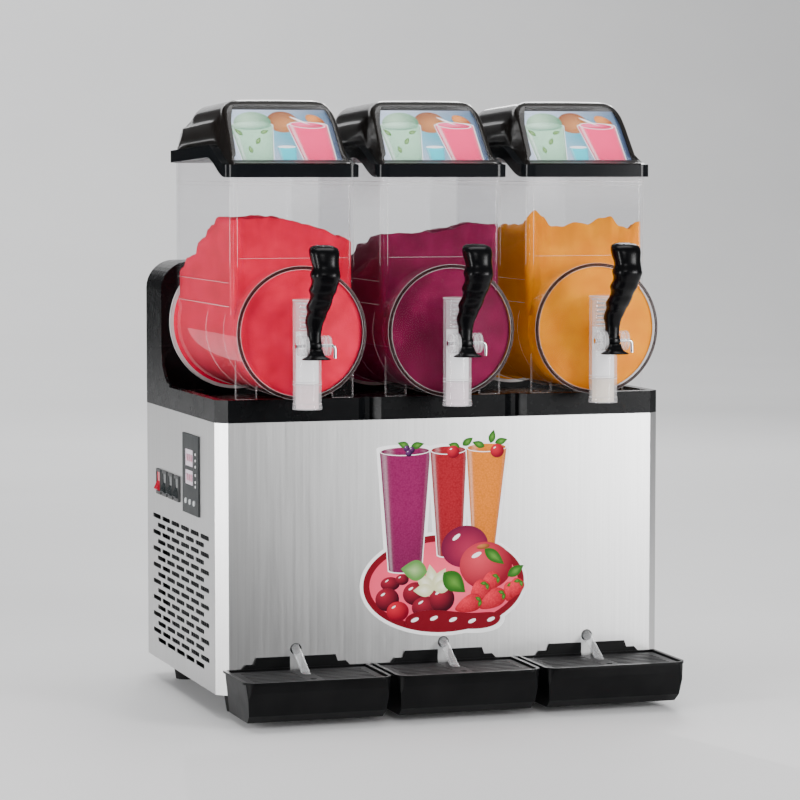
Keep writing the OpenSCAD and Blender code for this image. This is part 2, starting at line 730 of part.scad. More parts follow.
// A coil spring, swept as one closed tube
module tap_spring(n) color("silver") translate([bowl_x(n), tap_y, 0]) {
    last = coil_turns * coil_steps;
    z0 = piston_z1 + coil_wire + 0.1;
    rise = (spring_z1 - coil_wire - 0.1 - z0) / last;
    points = [for (i = [0 : last], k = [0 : coil_sides - 1])
        let (a = 360 * i / coil_steps, b = 360 * k / coil_sides, r = coil_r + coil_wire * cos(b))
        [r * cos(a), r * sin(a), z0 + i * rise + coil_wire * sin(b)]];
    walls = [for (i = [0 : last - 1], k = [0 : coil_sides - 1])
        let (a = i * coil_sides + k, b = i * coil_sides + (k + 1) % coil_sides)
        [a, b, b + coil_sides, a + coil_sides]];
    ends = [[for (k = [coil_sides - 1 : -1 : 0]) k],
        [for (k = [0 : coil_sides - 1]) last * coil_sides + k]];
    polyhedron(points, concat(walls, ends), convexity = 10);
}

module grip_slice(s) translate([0, s[1], top_z + s[0]]) scale([s[2], s[3], 1])
    cylinder(r = 1, h = 3, $fn = 32);

module tap_handle(n) color("#101112") translate([bowl_x(n), 0, 0]) difference() {
    arm_hw = 4.6;
    skirt = [17.6, 2.5];
    union() {
        for (i = [0 : len(grip) - 2]) hull() {
            grip_slice(grip[i]);
            grip_slice(grip[i + 1]);
        }
        translate([0, pivot_y, pivot_z]) rod_x(11, -7.5, 7.5);
        block([-6, pivot_y - 12, pivot_z - 15], [6, pivot_y - 3, pivot_z - 3]);
        block([-skirt[0], pivot_y - 22.9, pivot_z - 17], [skirt[0], pivot_y, pivot_z - 17 + skirt[1]]);
        block([-arm_hw, pivot_y, pivot_z - 2], [arm_hw, pivot_y + arm_len, pivot_z + 2]);
        translate([0, pivot_y + arm_len, pivot_z]) rod_x(4, -arm_hw, arm_hw);
    }
    translate([0, pivot_y, pivot_z]) rod_x(pin_r + pin_fit, -30, 30);
}

// The scraper: a flat helix carried by a spider in front, turned by the shaft through the cylinder
module helix(r0, r1, y0, y1, pitch, t) {
    per_turn = 24;
    last = floor((y1 - y0) / pitch * per_turn);
    section = [[r0, -t / 2], [r1, -t / 2], [r1, t / 2], [r0, t / 2]];
    points = [for (i = [0 : last], s = section) let (a = 360 * i / per_turn, y = y0 + pitch * i / per_turn)
        [s[0] * cos(a), y + s[1], s[0] * sin(a)]];
    walls = [for (i = [0 : last - 1], k = [0 : 3]) let (a = i * 4 + k, b = i * 4 + (k + 1) % 4)
        [a, a + 4, b + 4, b]];
    polyhedron(points, concat(walls, [[0, 1, 2, 3], [for (k = [3 : -1 : 0]) last * 4 + k]]), convexity = 12);
}

module auger(n) color("#f2f3f1") translate([bowl_x(n), 0, axis_z]) {
    spider_t = 9;
    nose = 14;
    helix(blade_r0, blade_r1, spider_y + 5, bowl_y1 - 8, auger_pitch, blade_t);
    rod_y(shaft_r, spider_y, shaft_end);
    rod_y(2 * shaft_r, spider_y - nose, spider_y + spider_t);
    for (a = [0, 180]) rotate([0, a, 0])
        block([0, spider_y, -7], [blade_r1 - 0.4, spider_y + spider_t, 7]);
}

// ---------------------------------------------------------------- lids

module lid_rim(n) color("#101112") translate([bowl_x(n), 0, 0]) {
    low = band_low - 40;
    tall = 90;
    skirt_r = [front_corner_r + 5, back_corner_r + 5];
    intersection() {
        translate([0, 0, low]) linear_extrude(tall) difference() {
            rounded_plan(rim_hw, rim_y0, rim_y1, skirt_r[0], skirt_r[1]);
            rounded_plan(rim_hw - rim_wall, rim_y0 + rim_wall, rim_y1 - rim_wall, skirt_r[0] - rim_wall,
                skirt_r[1] - rim_wall);
        }
        across(rim_hw + 1, concat(band_line(-band_h, rim_y0 - 1, rim_y1 + 1),
            reversed(band_line(0, rim_y0 - 1, rim_y1 + 1))));
    }
    intersection() {
        translate([0, 0, low]) linear_extrude(tall) difference() {
            rounded_plan(rim_hw - 1, rim_y0 + 1, rim_y1 - 1, skirt_r[0] - 1, skirt_r[1] - 1);
            rounded_plan(box_hw - 9, box_y0 + 9, rim_y1 - 15, front_corner_r - 4, back_corner_r - 7);
        }
        across(rim_hw + 1, concat(band_line(-rim_web, rim_y0 - 1, rim_y1 + 1),
            reversed(band_line(0, rim_y0 - 1, rim_y1 + 1))));
    }
}

// Side view of the dome, then its front view; d is how far the surface is set in
function dome_side(d) = concat(
    band_line(d > 0 ? -5 : 0, dome_y[0] + d, dome_y[1] - d),
    [[nape[0] - d, lid_top - nape[1] - d], [crown_y[1], lid_top - crown_drop - d],
    [crown_y[0] + d, lid_top - d], [brow_y + d, lid_top - crown_drop - d]]);
function dome_half(d) = [
    [dome_hw[0] - d, band_low - 12], [dome_hw[1] - d, dome_step_z[0]],
    [dome_hw[2] - d, dome_step_z[1]], [dome_hw[3] - d, lid_top - d]];
function dome_front(d) = concat([for (p = dome_half(d)) [-p[0], p[1]]], reversed(dome_half(d)));

module dome_form(d) intersection() {
    across(100, dome_side(d));
    along(0, 330, dome_front(d));
}

module lid_dome(n) color([0.16, 0.17, 0.18, 0.7]) translate([bowl_x(n), 0, 0]) difference() {
    dome_form(0);
    dome_form(dome_wall);
}

// ---------------------------------------------------------------- drip trays

function tray_side(d) = let (top = rim_z + (d > 0 ? 1 : 0), front = -tray_d + d) [
    [-gap - d, top], [-gap - d, tray_z0 + d], [front + tray_rise[0], tray_z0 + d],
    [front + tray_rise[1], tray_z0 + tray_bend_z + d / 2], [front + tray_rise[2], rim_z - tray_lip_z],
    [front + tray_rise[3], top]];
function tray_front(d) = let (top = tray_hw - tray_lean[0] - d, foot = tray_hw - tray_lean[1] - d) [
    [-top, rim_z + 2], [-foot, tray_z0 + d - 0.5], [foot, tray_z0 + d - 0.5], [top, rim_z + 2]];

module tray_plan(z0, h, d) translate([0, 0, z0]) linear_extrude(h)
    rounded_plan(tray_hw - d, -tray_d + d, -gap - d, tray_corner_r - d, 1);

module tray_form(d) intersection() {
    across(tray_hw + 5, tray_side(d));
    along(-tray_d - 5, 5, tray_front(d));
    tray_plan(0, rim_z + 5, d > 0 ? d + 1 : 1);
}

// The rear edge rises in two steps, with a notch in the middle for the drain tube
module drip_tray(n) color("#1a1b1c") translate([bowl_x(n), 0, 0]) {
    rim_t = 3;
    plateau = [66, 5.5, 5];
    tab = [52, 14, 3];
    edge = rim_z - 4;
    notch = notch_w / 2;
    difference() {
        union() {
            tray_form(0);
            tray_plan(rim_z - rim_t, rim_t, 0);
            along(-3, -gap, [[-plateau[0] - plateau[2], edge], [plateau[0] + plateau[2], edge],
                [plateau[0] + plateau[2], rim_z], [plateau[0], rim_z + plateau[1]],
                [-plateau[0], rim_z + plateau[1]], [-plateau[0] - plateau[2], rim_z]]);
            both_sides() along(-3, -gap, [[notch, edge], [tab[0] + tab[2], edge],
                [tab[0] + tab[2], rim_z + plateau[1]], [tab[0], rim_z + tab[1]], [notch, rim_z + tab[1]]]);
        }
        tray_form(tray_wall);
        block([-notch, -4, rim_z - 8], [notch, 1, rim_z + tab[1] + 6]);
    }
    both_sides() {
        block([tray_hw - 12, grille_y0 + 12, rim_z - 13], [tray_hw - 5, grille_y1, grille_top - grille_t]);
        block([hook_x[0], -3, hook_z[0]], [hook_x[1], 8, hook_z[1]]);
    }
}

module drip_grille(n) color("#2a2b2c") translate([bowl_x(n), 0, grille_top - grille_t]) linear_extrude(grille_t)
    difference() {
        bar_pitch = 11;
        rounded_plan(tray_hw - 7, grille_y0, grille_y1, tray_corner_r - 6, 1);
        for (row = [0 : 6], s = [-1, 1])
            translate([s * 45, grille_y0 + 14 + row * bar_pitch]) square([68, 5], center = true);
        translate([0, grille_y0 + 24]) circle(r = 4.5);
    }

place() chassis();
place() front_panel();
place() left_panel();
place() right_panel();
place() rear_panel();
place() top_tray();
place() rear_housing();
place() feet();
place() control_fascia();
place() display_windows();
place() switch_housings();
place() rocker(0, "#c8142a");  // power_switch
place() compressor();
place() condenser();
place() fan_motor();
place() fan_blades();
place() refrigerant_pipes();
place() control_box();
place() cord_gland();
place() screws();
place() evaporators();
place() gear_motors();
place() drain_tubes();
place() bowl_gaskets();
for (n = [1 : 3]) {
    place() button(n - 1);
    place() rocker(n, "#33383a");
    place() bowl(n);
    place() lid_rim(n);
    place() lid_dome(n);
    place() auger(n);
    place() tap_handle(n);
    place() tap_piston(n);
    place() tap_pin(n);
    place() tap_spring(n);
    place() drip_tray(n);
    place() drip_grille(n);
}
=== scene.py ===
"""Looks of the slush machine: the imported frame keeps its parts, and the detailed pieces ride on its bodies."""
import json
import math

import bmesh
import bpy
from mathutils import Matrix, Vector, noise


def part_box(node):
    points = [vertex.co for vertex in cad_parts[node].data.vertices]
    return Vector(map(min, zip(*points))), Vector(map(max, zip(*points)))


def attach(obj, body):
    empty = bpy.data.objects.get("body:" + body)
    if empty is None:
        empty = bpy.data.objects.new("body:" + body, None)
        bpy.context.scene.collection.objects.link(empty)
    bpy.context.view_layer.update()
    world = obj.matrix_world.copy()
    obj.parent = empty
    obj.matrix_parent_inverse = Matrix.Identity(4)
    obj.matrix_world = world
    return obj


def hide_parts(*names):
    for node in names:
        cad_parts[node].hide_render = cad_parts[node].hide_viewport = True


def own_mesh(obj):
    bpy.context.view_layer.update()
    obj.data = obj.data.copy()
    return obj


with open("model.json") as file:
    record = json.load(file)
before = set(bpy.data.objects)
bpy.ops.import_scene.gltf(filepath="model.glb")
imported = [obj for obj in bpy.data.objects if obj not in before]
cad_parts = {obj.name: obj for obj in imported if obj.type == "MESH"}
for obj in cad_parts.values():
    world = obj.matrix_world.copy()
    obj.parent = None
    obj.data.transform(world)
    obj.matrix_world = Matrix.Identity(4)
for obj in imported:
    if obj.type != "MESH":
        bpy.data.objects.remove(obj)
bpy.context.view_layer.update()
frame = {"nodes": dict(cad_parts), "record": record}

MM = 0.001
BOWLS = (1, 2, 3)


# ---------------------------------------------------------------- places, read from the frame

def middle(node):
    low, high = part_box(node)
    return (low + high) / 2


FRONT_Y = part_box("front_panel")[0].y
STEEL_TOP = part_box("front_panel")[1].z
LEFT_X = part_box("left_panel")[0].x
CENTRE_X = {0: middle("front_panel").x, **{n: middle(f"auger_{n}").x for n in BOWLS}}
AXIS_Z = (middle("auger_1").z - STEEL_TOP) / MM


def at(n, x, y, z):
    """A point in millimetres from bowl n's middle (0: the machine's) and the cabinet's front and top edge."""
    return Vector((CENTRE_X[n] + x * MM, FRONT_Y + y * MM, STEEL_TOP + z * MM))


# Sizes and places of the clear bowl, its tap and its lid, in at()'s millimetres, as the part has them
DRUM_FRONT = -33
DRUM_R = 84
LEG_X = (50, 77)
LEG_Y = (2, 6)
LEG_Z = 29.4
BOWL_WALL = 4
BOX_WALL = 3
BOX_HW = 81.5
BOX_Y0 = 5
BOWL_Y1 = 293
SWEEP_R = 77.6
FLANGE_R = 91
TAP_R = 18
TAP_BORE = 14.5
LID_TOP = 408
BAND_Y = (12, 104)
BAND_Z = (325, 350)
BAND_FALL = 0.033
TAP_Y = -55
PIN_Y = -85
PIN_Z = 101

# Between the drink and the plastic round it
GAP = 0.3


def blend(a, b, t):
    t = min(max(t, 0), 1)
    return a + (b - a) * t


def ease(a, b, t):
    """From a to b with level ends."""
    t = min(max(t, 0), 1)
    return a + (b - a) * (1 - math.cos(math.pi * t)) / 2


def along_points(points, x):
    """A smooth curve through (x, value) points."""
    if x <= points[0][0]:
        return points[0][1]
    for (x0, v0), (x1, v1) in zip(points, points[1:]):
        if x <= x1:
            return ease(v0, v1, (x - x0) / (x1 - x0))
    return points[-1][1]


def band_z(y):
    """Top of the lid's black band: an S-shaped rise at the front, then a slight fall to the back."""
    if y < BAND_Y[1]:
        return ease(*BAND_Z, (y - BAND_Y[0]) / (BAND_Y[1] - BAND_Y[0]))
    return BAND_Z[1] - (y - BAND_Y[1]) * BAND_FALL


def angles(count):
    """Even steps round a circle."""
    return [2 * math.pi * k / count for k in range(count)]


# ---------------------------------------------------------------- materials

class Look:
    """A node material, with short names for the nodes it is made of."""

    def __init__(self, name, **values):
        self.material = bpy.data.materials.new(name)
        self.material.use_nodes = True
        self.tree = self.material.node_tree
        self.surface = self.tree.nodes["Principled BSDF"]
        self.output = self.tree.nodes["Material Output"]
        self.set(**values)

    def set(self, **values):
        for key, value in values.items():
            self.input(key).default_value = value

    def input(self, key):
        names = {
            "color": "Base Color", "metallic": "Metallic", "roughness": "Roughness", "normal": "Normal",
            "coat": "Coat Weight", "coat_roughness": "Coat Roughness", "specular": "Specular IOR Level",
            "subsurface": "Subsurface Weight", "radius": "Subsurface Radius", "depth": "Subsurface Scale",
            "glow": "Emission Color", "glow_strength": "Emission Strength", "anisotropic": "Anisotropic",
        }
        return self.surface.inputs[names[key]]

    def link(self, source, target):
        self.tree.links.new(source, target)

    def node(self, kind, inputs=None, **properties):
        """A node of one kind. inputs gives some of its inputs, by name or number, a socket or a value."""
        made = self.tree.nodes.new(kind)
        for key, value in properties.items():
            setattr(made, key, value)
        for key, value in (inputs or {}).items():
            if isinstance(value, bpy.types.NodeSocket):
                self.link(value, made.inputs[key])
            else:
                made.inputs[key].default_value = value
        return made

    def place(self, stretch=(1, 1, 1)):
        """Coordinates on the piece, stretched along each axis."""
        spot = self.node("ShaderNodeTexCoord").outputs["Object"]
        return self.node("ShaderNodeMapping", {"Vector": spot, "Scale": stretch}).outputs["Vector"]

    def noise(self, scale, detail, stretch=(1, 1, 1)):
        inputs = {"Vector": self.place(stretch), "Scale": scale, "Detail": detail, "Roughness": 0.55}
        return self.node("ShaderNodeTexNoise", inputs).outputs["Fac"]

    def cells(self, scale):
        return self.node("ShaderNodeTexVoronoi", {"Vector": self.place(), "Scale": scale}).outputs["Distance"]

    def gradient(self, axis, low, high):
        """0 to 1 along an axis of the row frame, in metres."""
        value = self.node("ShaderNodeSeparateXYZ", {0: self.place()}).outputs["XYZ".index(axis)]
        inputs = {"Value": value, "From Min": low, "From Max": high}
        return self.node("ShaderNodeMapRange", inputs).outputs["Result"]

    def scale(self, value, low, high):
        """Spreads a 0 to 1 value over low to high."""
        inputs = {"Value": value, "To Min": low, "To Max": high}
        return self.node("ShaderNodeMapRange", inputs).outputs["Result"]

    def ramp(self, value, *stops):
        n = self.node("ShaderNodeValToRGB", {"Fac": value})
        while len(n.color_ramp.elements) < len(stops):
            n.color_ramp.elements.new(0.5)
        for element, (position, color) in zip(n.color_ramp.elements, stops):
            element.position = position
            element.color = (*color, 1)
        return n.outputs["Color"]

    def combine(self, operation, a, b, clamped=False):
        """Two numbers or sockets, added, multiplied and so on."""
        return self.node("ShaderNodeMath", {0: a, 1: b}, operation=operation, use_clamp=clamped).outputs[0]

    def mix(self, share, a, b, kind="MIX"):
        """Mixes two colours, each a socket or a value, by a socket or a number."""
        a, b = ((*c, 1) if isinstance(c, tuple) else c for c in (a, b))
        return self.node("ShaderNodeMix", {0: share, 6: a, 7: b}, data_type="RGBA", blend_type=kind).outputs[2]

    def shader_mix(self, share, a, b):
        return self.node("ShaderNodeMixShader", {"Fac": share, 1: a, 2: b}).outputs[0]

    def bump(self, height, distance, strength):
        inputs = {"Height": height, "Distance": distance, "Strength": strength}
        return self.node("ShaderNodeBump", inputs).outputs["Normal"]

    def feed(self, **sockets):
        for key, socket in sockets.items():
            self.link(socket, self.input(key))


def moulded(name, color, rough, grain=1400, wear=0.03, coat=0.0, specular=0.5):
    """Moulded plastic: fine grain in the surface, slightly uneven gloss and colour."""
    look = Look(name, specular=specular, coat=coat, coat_roughness=0.08)
    uneven = look.noise(18, 5)
    pale = tuple(min(1, c + wear) for c in color)
    look.feed(
        color=look.ramp(uneven, (0.35, color), (0.75, pale)),
        roughness=look.scale(look.noise(45, 4), rough * 0.8, rough * 1.25),
        normal=look.bump(look.noise(grain, 2), 0.00006, 0.5),
    )
    return look


def painted(name, color, rough):
    """Painted metal with a light orange-peel surface."""
    look = Look(name, coat=0.3, coat_roughness=0.2)
    pale = tuple(c * 1.35 + 0.01 for c in color)
    look.feed(
        color=look.ramp(look.noise(30, 6), (0.3, color), (0.8, pale)),
        roughness=look.scale(look.noise(60, 3), rough, rough * 1.3),
        normal=look.bump(look.noise(700, 2), 0.00008, 0.6),
    )
    return look


def metal(name, color, rough, streak=(1, 1, 1), fine=900, anisotropic=0.0):
    """Bare metal, with lines along its finish where streak stretches them."""
    look = Look(name, metallic=1.0, anisotropic=anisotropic)
    line = look.noise(fine, 3, streak)
    dark = tuple(c * 0.82 for c in color)
    look.feed(
        color=look.ramp(line, (0.3, dark), (0.7, color)),
        roughness=look.scale(look.noise(25, 4), rough * 0.8, rough * 1.3),
        normal=look.bump(line, 0.00003, 0.5),
    )
    return look


def clear_plastic(name, tint, haze, edge_haze, rough=0.03, ior=1.25, milky=()):
    """Thin clear plastic: see-through face on, paler at grazing angles, and glossy where light enters it.
    milky lists (axis, low, high, most): haze that grows along an axis of the row frame."""
    look = Look(name, color=(*tint, 1), roughness=max(rough, 0.3), specular=0.2)
    wavy = look.bump(look.noise(14, 2), 0.0002, 0.6)
    look.feed(normal=wavy)
    facing = look.node("ShaderNodeLayerWeight", {"Blend": 0.5, "Normal": wavy}).outputs["Facing"]
    body_share = look.scale(look.combine("POWER", facing, 4), haze, edge_haze)
    for axis, low, high, most in milky:
        cloud = look.scale(look.gradient(axis, low, high), 0, most)
        body_share = look.combine("ADD", body_share, cloud, clamped=True)
    thin_tint = (*(1 - (1 - c) * 0.25 for c in tint), 1)
    through = look.node("ShaderNodeBsdfTransparent", {"Color": thin_tint}).outputs[0]
    shine = look.node("ShaderNodeBsdfGlossy", {"Roughness": rough, "Normal": wavy}).outputs[0]
    fresnel = look.node("ShaderNodeFresnel", {"IOR": ior, "Normal": wavy}).outputs[0]
    outside = look.combine("SUBTRACT", 1, look.node("ShaderNodeNewGeometry").outputs["Backfacing"])
    body = look.shader_mix(body_share, through, look.surface.outputs[0])
    glossy = look.shader_mix(look.combine("MULTIPLY", fresnel, outside), body, shine)
    look.link(glossy, look.output.inputs["Surface"])
    return look


def brushed_panel(name, tone, rough, spread):
    """Brushed stainless sheet with an upright grain and faint handling marks."""
    look = Look(name, metallic=1.0, anisotropic=spread)
    grain = look.noise(420, 3, (1, 1, 0.012))
    broad = look.noise(9, 3, (1, 1, 0.05))
    dark, pale = (tone * 0.86,) * 3, (tone * 1.02,) * 3
    lined = look.ramp(grain, (0.25, dark), (0.75, pale))
    look.feed(
        color=look.mix(look.scale(broad, 0.0, 0.35), lined, (tone * 1.1,) * 3),
        roughness=look.scale(look.noise(300, 3, (1, 1, 0.03)), rough * 0.86, rough * 1.14),
        normal=look.bump(grain, 0.00004, 0.45),
    )
    return look


def slush_look(name, deep, bright, pale):
    """Frozen drink: soft ice crystals, with paler streaks where the scraper has folded it, and a faint painted
    glow in its deep colour, though it is no lamp.
    """
    look = Look(
        name, roughness=0.45, specular=0.05, subsurface=0.2, radius=bright, depth=0.01,
        # Painted light: the drink glows faintly in its deep colour.
        glow=(*deep, 1), glow_strength=0.16,
    )
    folds = look.noise(26, 5, (1, 0.5, 1))
    crystals = look.noise(520, 3)
    body = look.ramp(folds, (0.30, deep), (0.55, bright), (0.80, pale))
    look.feed(
        color=look.mix(look.scale(crystals, 0.0, 0.12), body, pale),
        normal=look.bump(crystals, 0.0006, 0.5),
    )
    return look


TAP_FRONT = FRONT_Y - 0.040
# Haze that grows towards the tap's front and towards the top of the bowl.
MILKY_BANDS = (
    ("Y", TAP_FRONT + 0.003, TAP_FRONT, 0.22),
    ("Z", STEEL_TOP + 0.262, STEEL_TOP + 0.300, 0.10),
)
# Colour, roughness, scale of the grain, wear, coat and specular
MOULDED = {
    "black_moulding": ((0.0020, 0.0023, 0.0028), 0.26, 900, 0.003, 0.0, 0.10),
    "foot_rubber": ((0.005, 0.005, 0.005), 0.7, 500, 0.006, 0, 0.2),
    "grey_fascia": ((0.034, 0.037, 0.038), 0.45, 1400, 0.02, 0, 0.12),
    "display_window": ((0.70, 0.58, 0.68), 0.12, 1400, 0.03, 0.5),
    "switch_black": ((0.045, 0.047, 0.048), 0.4, 1400, 0.01, 0, 0.3),
    "switch_red": ((0.55, 0.004, 0.03), 0.22, 1400, 0.03, 0.5),
    "switch_grey": ((0.025, 0.031, 0.033), 0.22, 1400, 0.01, 0.3),
    "button_grey": ((0.62, 0.65, 0.66), 0.35),
    "fan_plastic": ((0.006, 0.0065, 0.007), 0.45, 1400, 0.006, 0, 0.2),
    "gasket_rubber": ((0.62, 0.61, 0.60), 0.6),
    "lid_black": ((0.0050, 0.0058, 0.0070), 0.14, 300, 0.002, 0.0, 0.12),
    "auger_white": ((0.80, 0.81, 0.80), 0.35),
    "handle_black": ((0.0018, 0.0018, 0.0023), 0.24, 260, 0.0015, 0.0, 0.12),
    "piston_white": ((0.94, 0.93, 0.93), 0.3),
    "tray_black": ((0.0022, 0.0023, 0.0026), 0.34, 700, 0.003, 0.0, 0.10),
    "grille_black": ((0.016, 0.016, 0.017), 0.58, 420, 0.03, 0.0, 0.22),
    "mark_dark": ((0.008, 0.010, 0.011), 0.3),
    "mark_pale": ((0.82, 0.82, 0.82), 0.3, 1400, 0.03, 0.4),
    "mark_pink": ((0.60, 0.25, 0.34), 0.3, 1400, 0.03, 0.4),
}
PAINTED = {
    "compressor_paint": ((0.006, 0.006, 0.007), 0.3),
    "motor_grey": ((0.02, 0.023, 0.026), 0.4),
}
# Colour, roughness, stretch of the lines, their scale and the anisotropy
METALS = {
    "zinc_frame": ((0.05, 0.052, 0.055), 0.6, (1, 1, 1), 60),
    "fin_aluminium": ((0.08, 0.082, 0.085), 0.5, (1, 0.02, 1)),
    "pipe_copper": ((0.72, 0.36, 0.22), 0.32, (1, 1, 1), 120),
    "screw_steel": ((0.80, 0.81, 0.83), 0.14, (1, 1, 1), 500),
    "spring_steel": ((0.68, 0.69, 0.71), 0.25, (1, 1, 1), 700),
    "evaporator_steel": ((0.66, 0.67, 0.69), 0.3, (1, 0.03, 1), 900, 0.4),
}
# Tone, roughness and anisotropy
BRUSHED = {"brushed_panel": (0.58, 0.36, 0.6), "brushed_front": (0.66, 0.30, 0.35)}
# Tint, haze face on and at grazing angles, roughness of the shine, its IOR, and where it is milky
CLEAR = {
    "clear_tube": ((0.94, 0.95, 0.96), 0.10, 0.45, 0.05),
    "clear_bowl": ((0.95, 0.95, 0.97), 0.003, 0.05, 0.03, 1.17, MILKY_BANDS),
    "lid_smoke": ((0.010, 0.008, 0.007), 0.88, 0.97, 0.06, 1.22),
    "lid_window": ((0.92, 0.95, 0.97), 0.0, 0.10, 0.04, 1.22),
    # Dark plastic for the drum rim's thick edge: painted shade.
    "rim_dark": ((0.030, 0.010, 0.010), 0.72, 0.85, 0.08, 1.15),
    # Pale plastic for thin beads on the drum rim, ear ribs and tap rings: painted highlight.
    "rim_pale": ((0.98, 0.96, 0.96), 0.30, 0.6, 0.04, 1.5),
    # Pale plastic for the bowl's moulded lines and edges: painted highlight.
    "bowl_seam": ((0.98, 0.96, 0.96), 0.22, 0.45, 0.05, 1.4),
}
LOOKS = {}
for maker, table in (
    (moulded, MOULDED), (painted, PAINTED), (metal, METALS), (brushed_panel, BRUSHED), (clear_plastic, CLEAR),
):
    for name, values in table.items():
        LOOKS[name] = maker(name, *values)


def dress(node):
    """Gives a CAD node its slot's look, or its own, and rounds its sharp edges by a modifier."""
    thing = frame["nodes"][node]
    family = node.rstrip("123").rstrip("_")
    slot = next(s["material_slot"] for s in frame["record"]["subparts"] if s["node"] == node)
    for holder in thing.material_slots:
        holder.material = LOOKS[OWN_LOOKS.get(family, slot)].material
    if family in BEVELS:
        edge = thing.modifiers.new("edges", "BEVEL")
        edge.width = BEVELS[family] * MM
        edge.segments = 2
        edge.limit_method = "ANGLE"
        edge.angle_limit = math.radians(40)
        edge.harden_normals = True


OWN_LOOKS = {"front_panel": "brushed_front", "drip_grille": "grille_black"}
BEVELS = {
    "front_panel": 0.4, "left_panel": 0.3, "right_panel": 0.3, "rear_panel": 0.3, "top_tray": 1.6,
    "rear_housing": 2.5, "feet": 1.5, "control_fascia": 0.8, "button": 0.4, "switch_housings": 0.7,
    "power_switch": 0.8, "bowl_switch": 0.8, "compressor": 1.5, "control_box": 0.5, "gear_motors": 1.5,
    "cord_gland": 0.8, "lid_rim": 1.2, "drip_tray": 1.0, "drip_grille": 0.6, "auger": 1.0, "tap_piston": 0.6,
}
for node_name in frame["nodes"]:
    dress(node_name)
seat = frame["nodes"]["bowl_gaskets"].modifiers.new("clear_of_flange", "DISPLACE")
seat.strength = -0.15 * MM
seat.mid_level = 0


# ---------------------------------------------------------------- mesh pieces

def new_mesh(name, skin, looks):
    """A mesh object in the scene, from a skin: its points and its faces."""
    mesh = bpy.data.meshes.new(name)
    points, faces = skin
    mesh.from_pydata([tuple(p) for p in points], [], faces)
    for look in looks:
        mesh.materials.append(look.material)
    thing = bpy.data.objects.new(name, mesh)
    bpy.context.scene.collection.objects.link(thing)
    return thing


def piece(name, skin, body, *looks, smooth=True, closed=False):
    """A mesh whose skin is in the row frame, riding on a body."""
    thing = new_mesh(name, skin, looks)
    mesh = thing.data
    mesh.validate()
    if closed:
        shell = bmesh.new()
        shell.from_mesh(mesh)
        bmesh.ops.recalc_face_normals(shell, faces=shell.faces)
        shell.to_mesh(mesh)
        shell.free()
    for polygon in mesh.polygons:
        polygon.use_smooth = smooth
    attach(thing, body)
    return thing


def lofted(rings, ends=True):
    """Points and faces of a skin through rings with equal numbers of points, closed at its ends or not."""
    size = len(rings[0])
    points = [p for ring in rings for p in ring]
    faces = []
    for i in range(len(rings) - 1):
        for k in range(size):
            a, b = i * size + k, i * size + (k + 1) % size
            faces.append((a, b, b + size, a + size))
    if ends:
        faces.append(tuple(reversed(range(size))))
        faces.append(tuple((len(rings) - 1) * size + k for k in range(size)))
    return points, faces


def tube(path, radius):
    """A round bar of eight sides along a path of points."""
    rings = []
    for i, p in enumerate(path):
        ahead = path[min(i + 1, len(path) - 1)] - path[max(i - 1, 0)]
        ahead.normalize()
        across = ahead.cross(Vector((0, 0, 1)))
        if across.length < 0.1:
            across = ahead.cross(Vector((0, 1, 0)))
        across.normalize()
        up = across.cross(ahead)
        rings.append([p + (across * math.cos(a) + up * math.sin(a)) * radius for a in angles(8)])
    return lofted(rings)


def turned(place, profile, count):
    """A closed ring: (along, radius) points carried round an axis, where place gives each point."""
    rings = [[place(s, r, t) for t in angles(count)] for s, r in profile]
    return lofted(rings + [rings[0]], ends=False)


def bead(along, radius, thick):
    """Profile of a thin round ring."""
    return [(along + thick * math.cos(t), radius + thick * math.sin(t)) for t in angles(10)]


def joined(*parts):
    """Several skins as one."""
    points, faces = [], []
    for more, some in parts:
        faces += [tuple(i + len(points) for i in f) for f in some]
        points += more
    return points, faces


# ---------------------------------------------------------------- frozen drink in the bowls

SLUSH = {
    1: {
        "look": slush_look("slush_red", (0.50, 0.0, 0.022), (0.70, 0.001, 0.042), (0.88, 0.010, 0.075)),
        "front": [(-80, 255), (-66, 256), (-30, 257), (-6, 255), (14, 251), (38, 243), (62, 234), (80, 226)],
        "back": [(8, 0), (56, 2), (92, 3), (110, -7), (138, -12), (152, -25), (188, -32), (206, -49),
                 (250, -53), (268, -66), (300, -74)],
    },
    2: {
        "look": slush_look("slush_purple", (0.100, 0.0015, 0.021), (0.165, 0.003, 0.040), (0.29, 0.012, 0.078)),
        "front": [(-80, 236), (-40, 237), (-16, 239), (12, 244), (38, 250), (60, 249), (80, 251)],
        "back": [(8, 0), (60, -3), (86, -12), (120, -14), (140, -26), (180, -34), (240, -46), (300, -60)],
    },
    3: {
        "look": slush_look("slush_orange", (0.72, 0.20, 0.0), (0.84, 0.285, 0.0), (0.96, 0.38, 0.0)),
        "front": [(-80, 258), (-71, 265), (-60, 258), (-49, 247), (-30, 246), (-16, 250), (4, 249), (20, 257),
                  (34, 258), (48, 243), (60, 241), (70, 250), (80, 251)],
        "back": [(8, 0), (22, -4), (44, -16), (120, -18), (180, -30), (240, -44), (300, -60)],
    },
}


def slush_top(n, x, y):
    """Height of the drink's surface: a front profile, a fall to the back and soft lumps."""
    shape = SLUSH[n]
    height = along_points(shape["front"], x) + along_points(shape["back"], y)
    lump = noise.noise(Vector((x * 0.035, y * 0.035, n * 7.3)))
    small = noise.noise(Vector((x * 0.11, y * 0.11, n * 3.1)))
    return height + 3.5 * lump + 1.8 * small


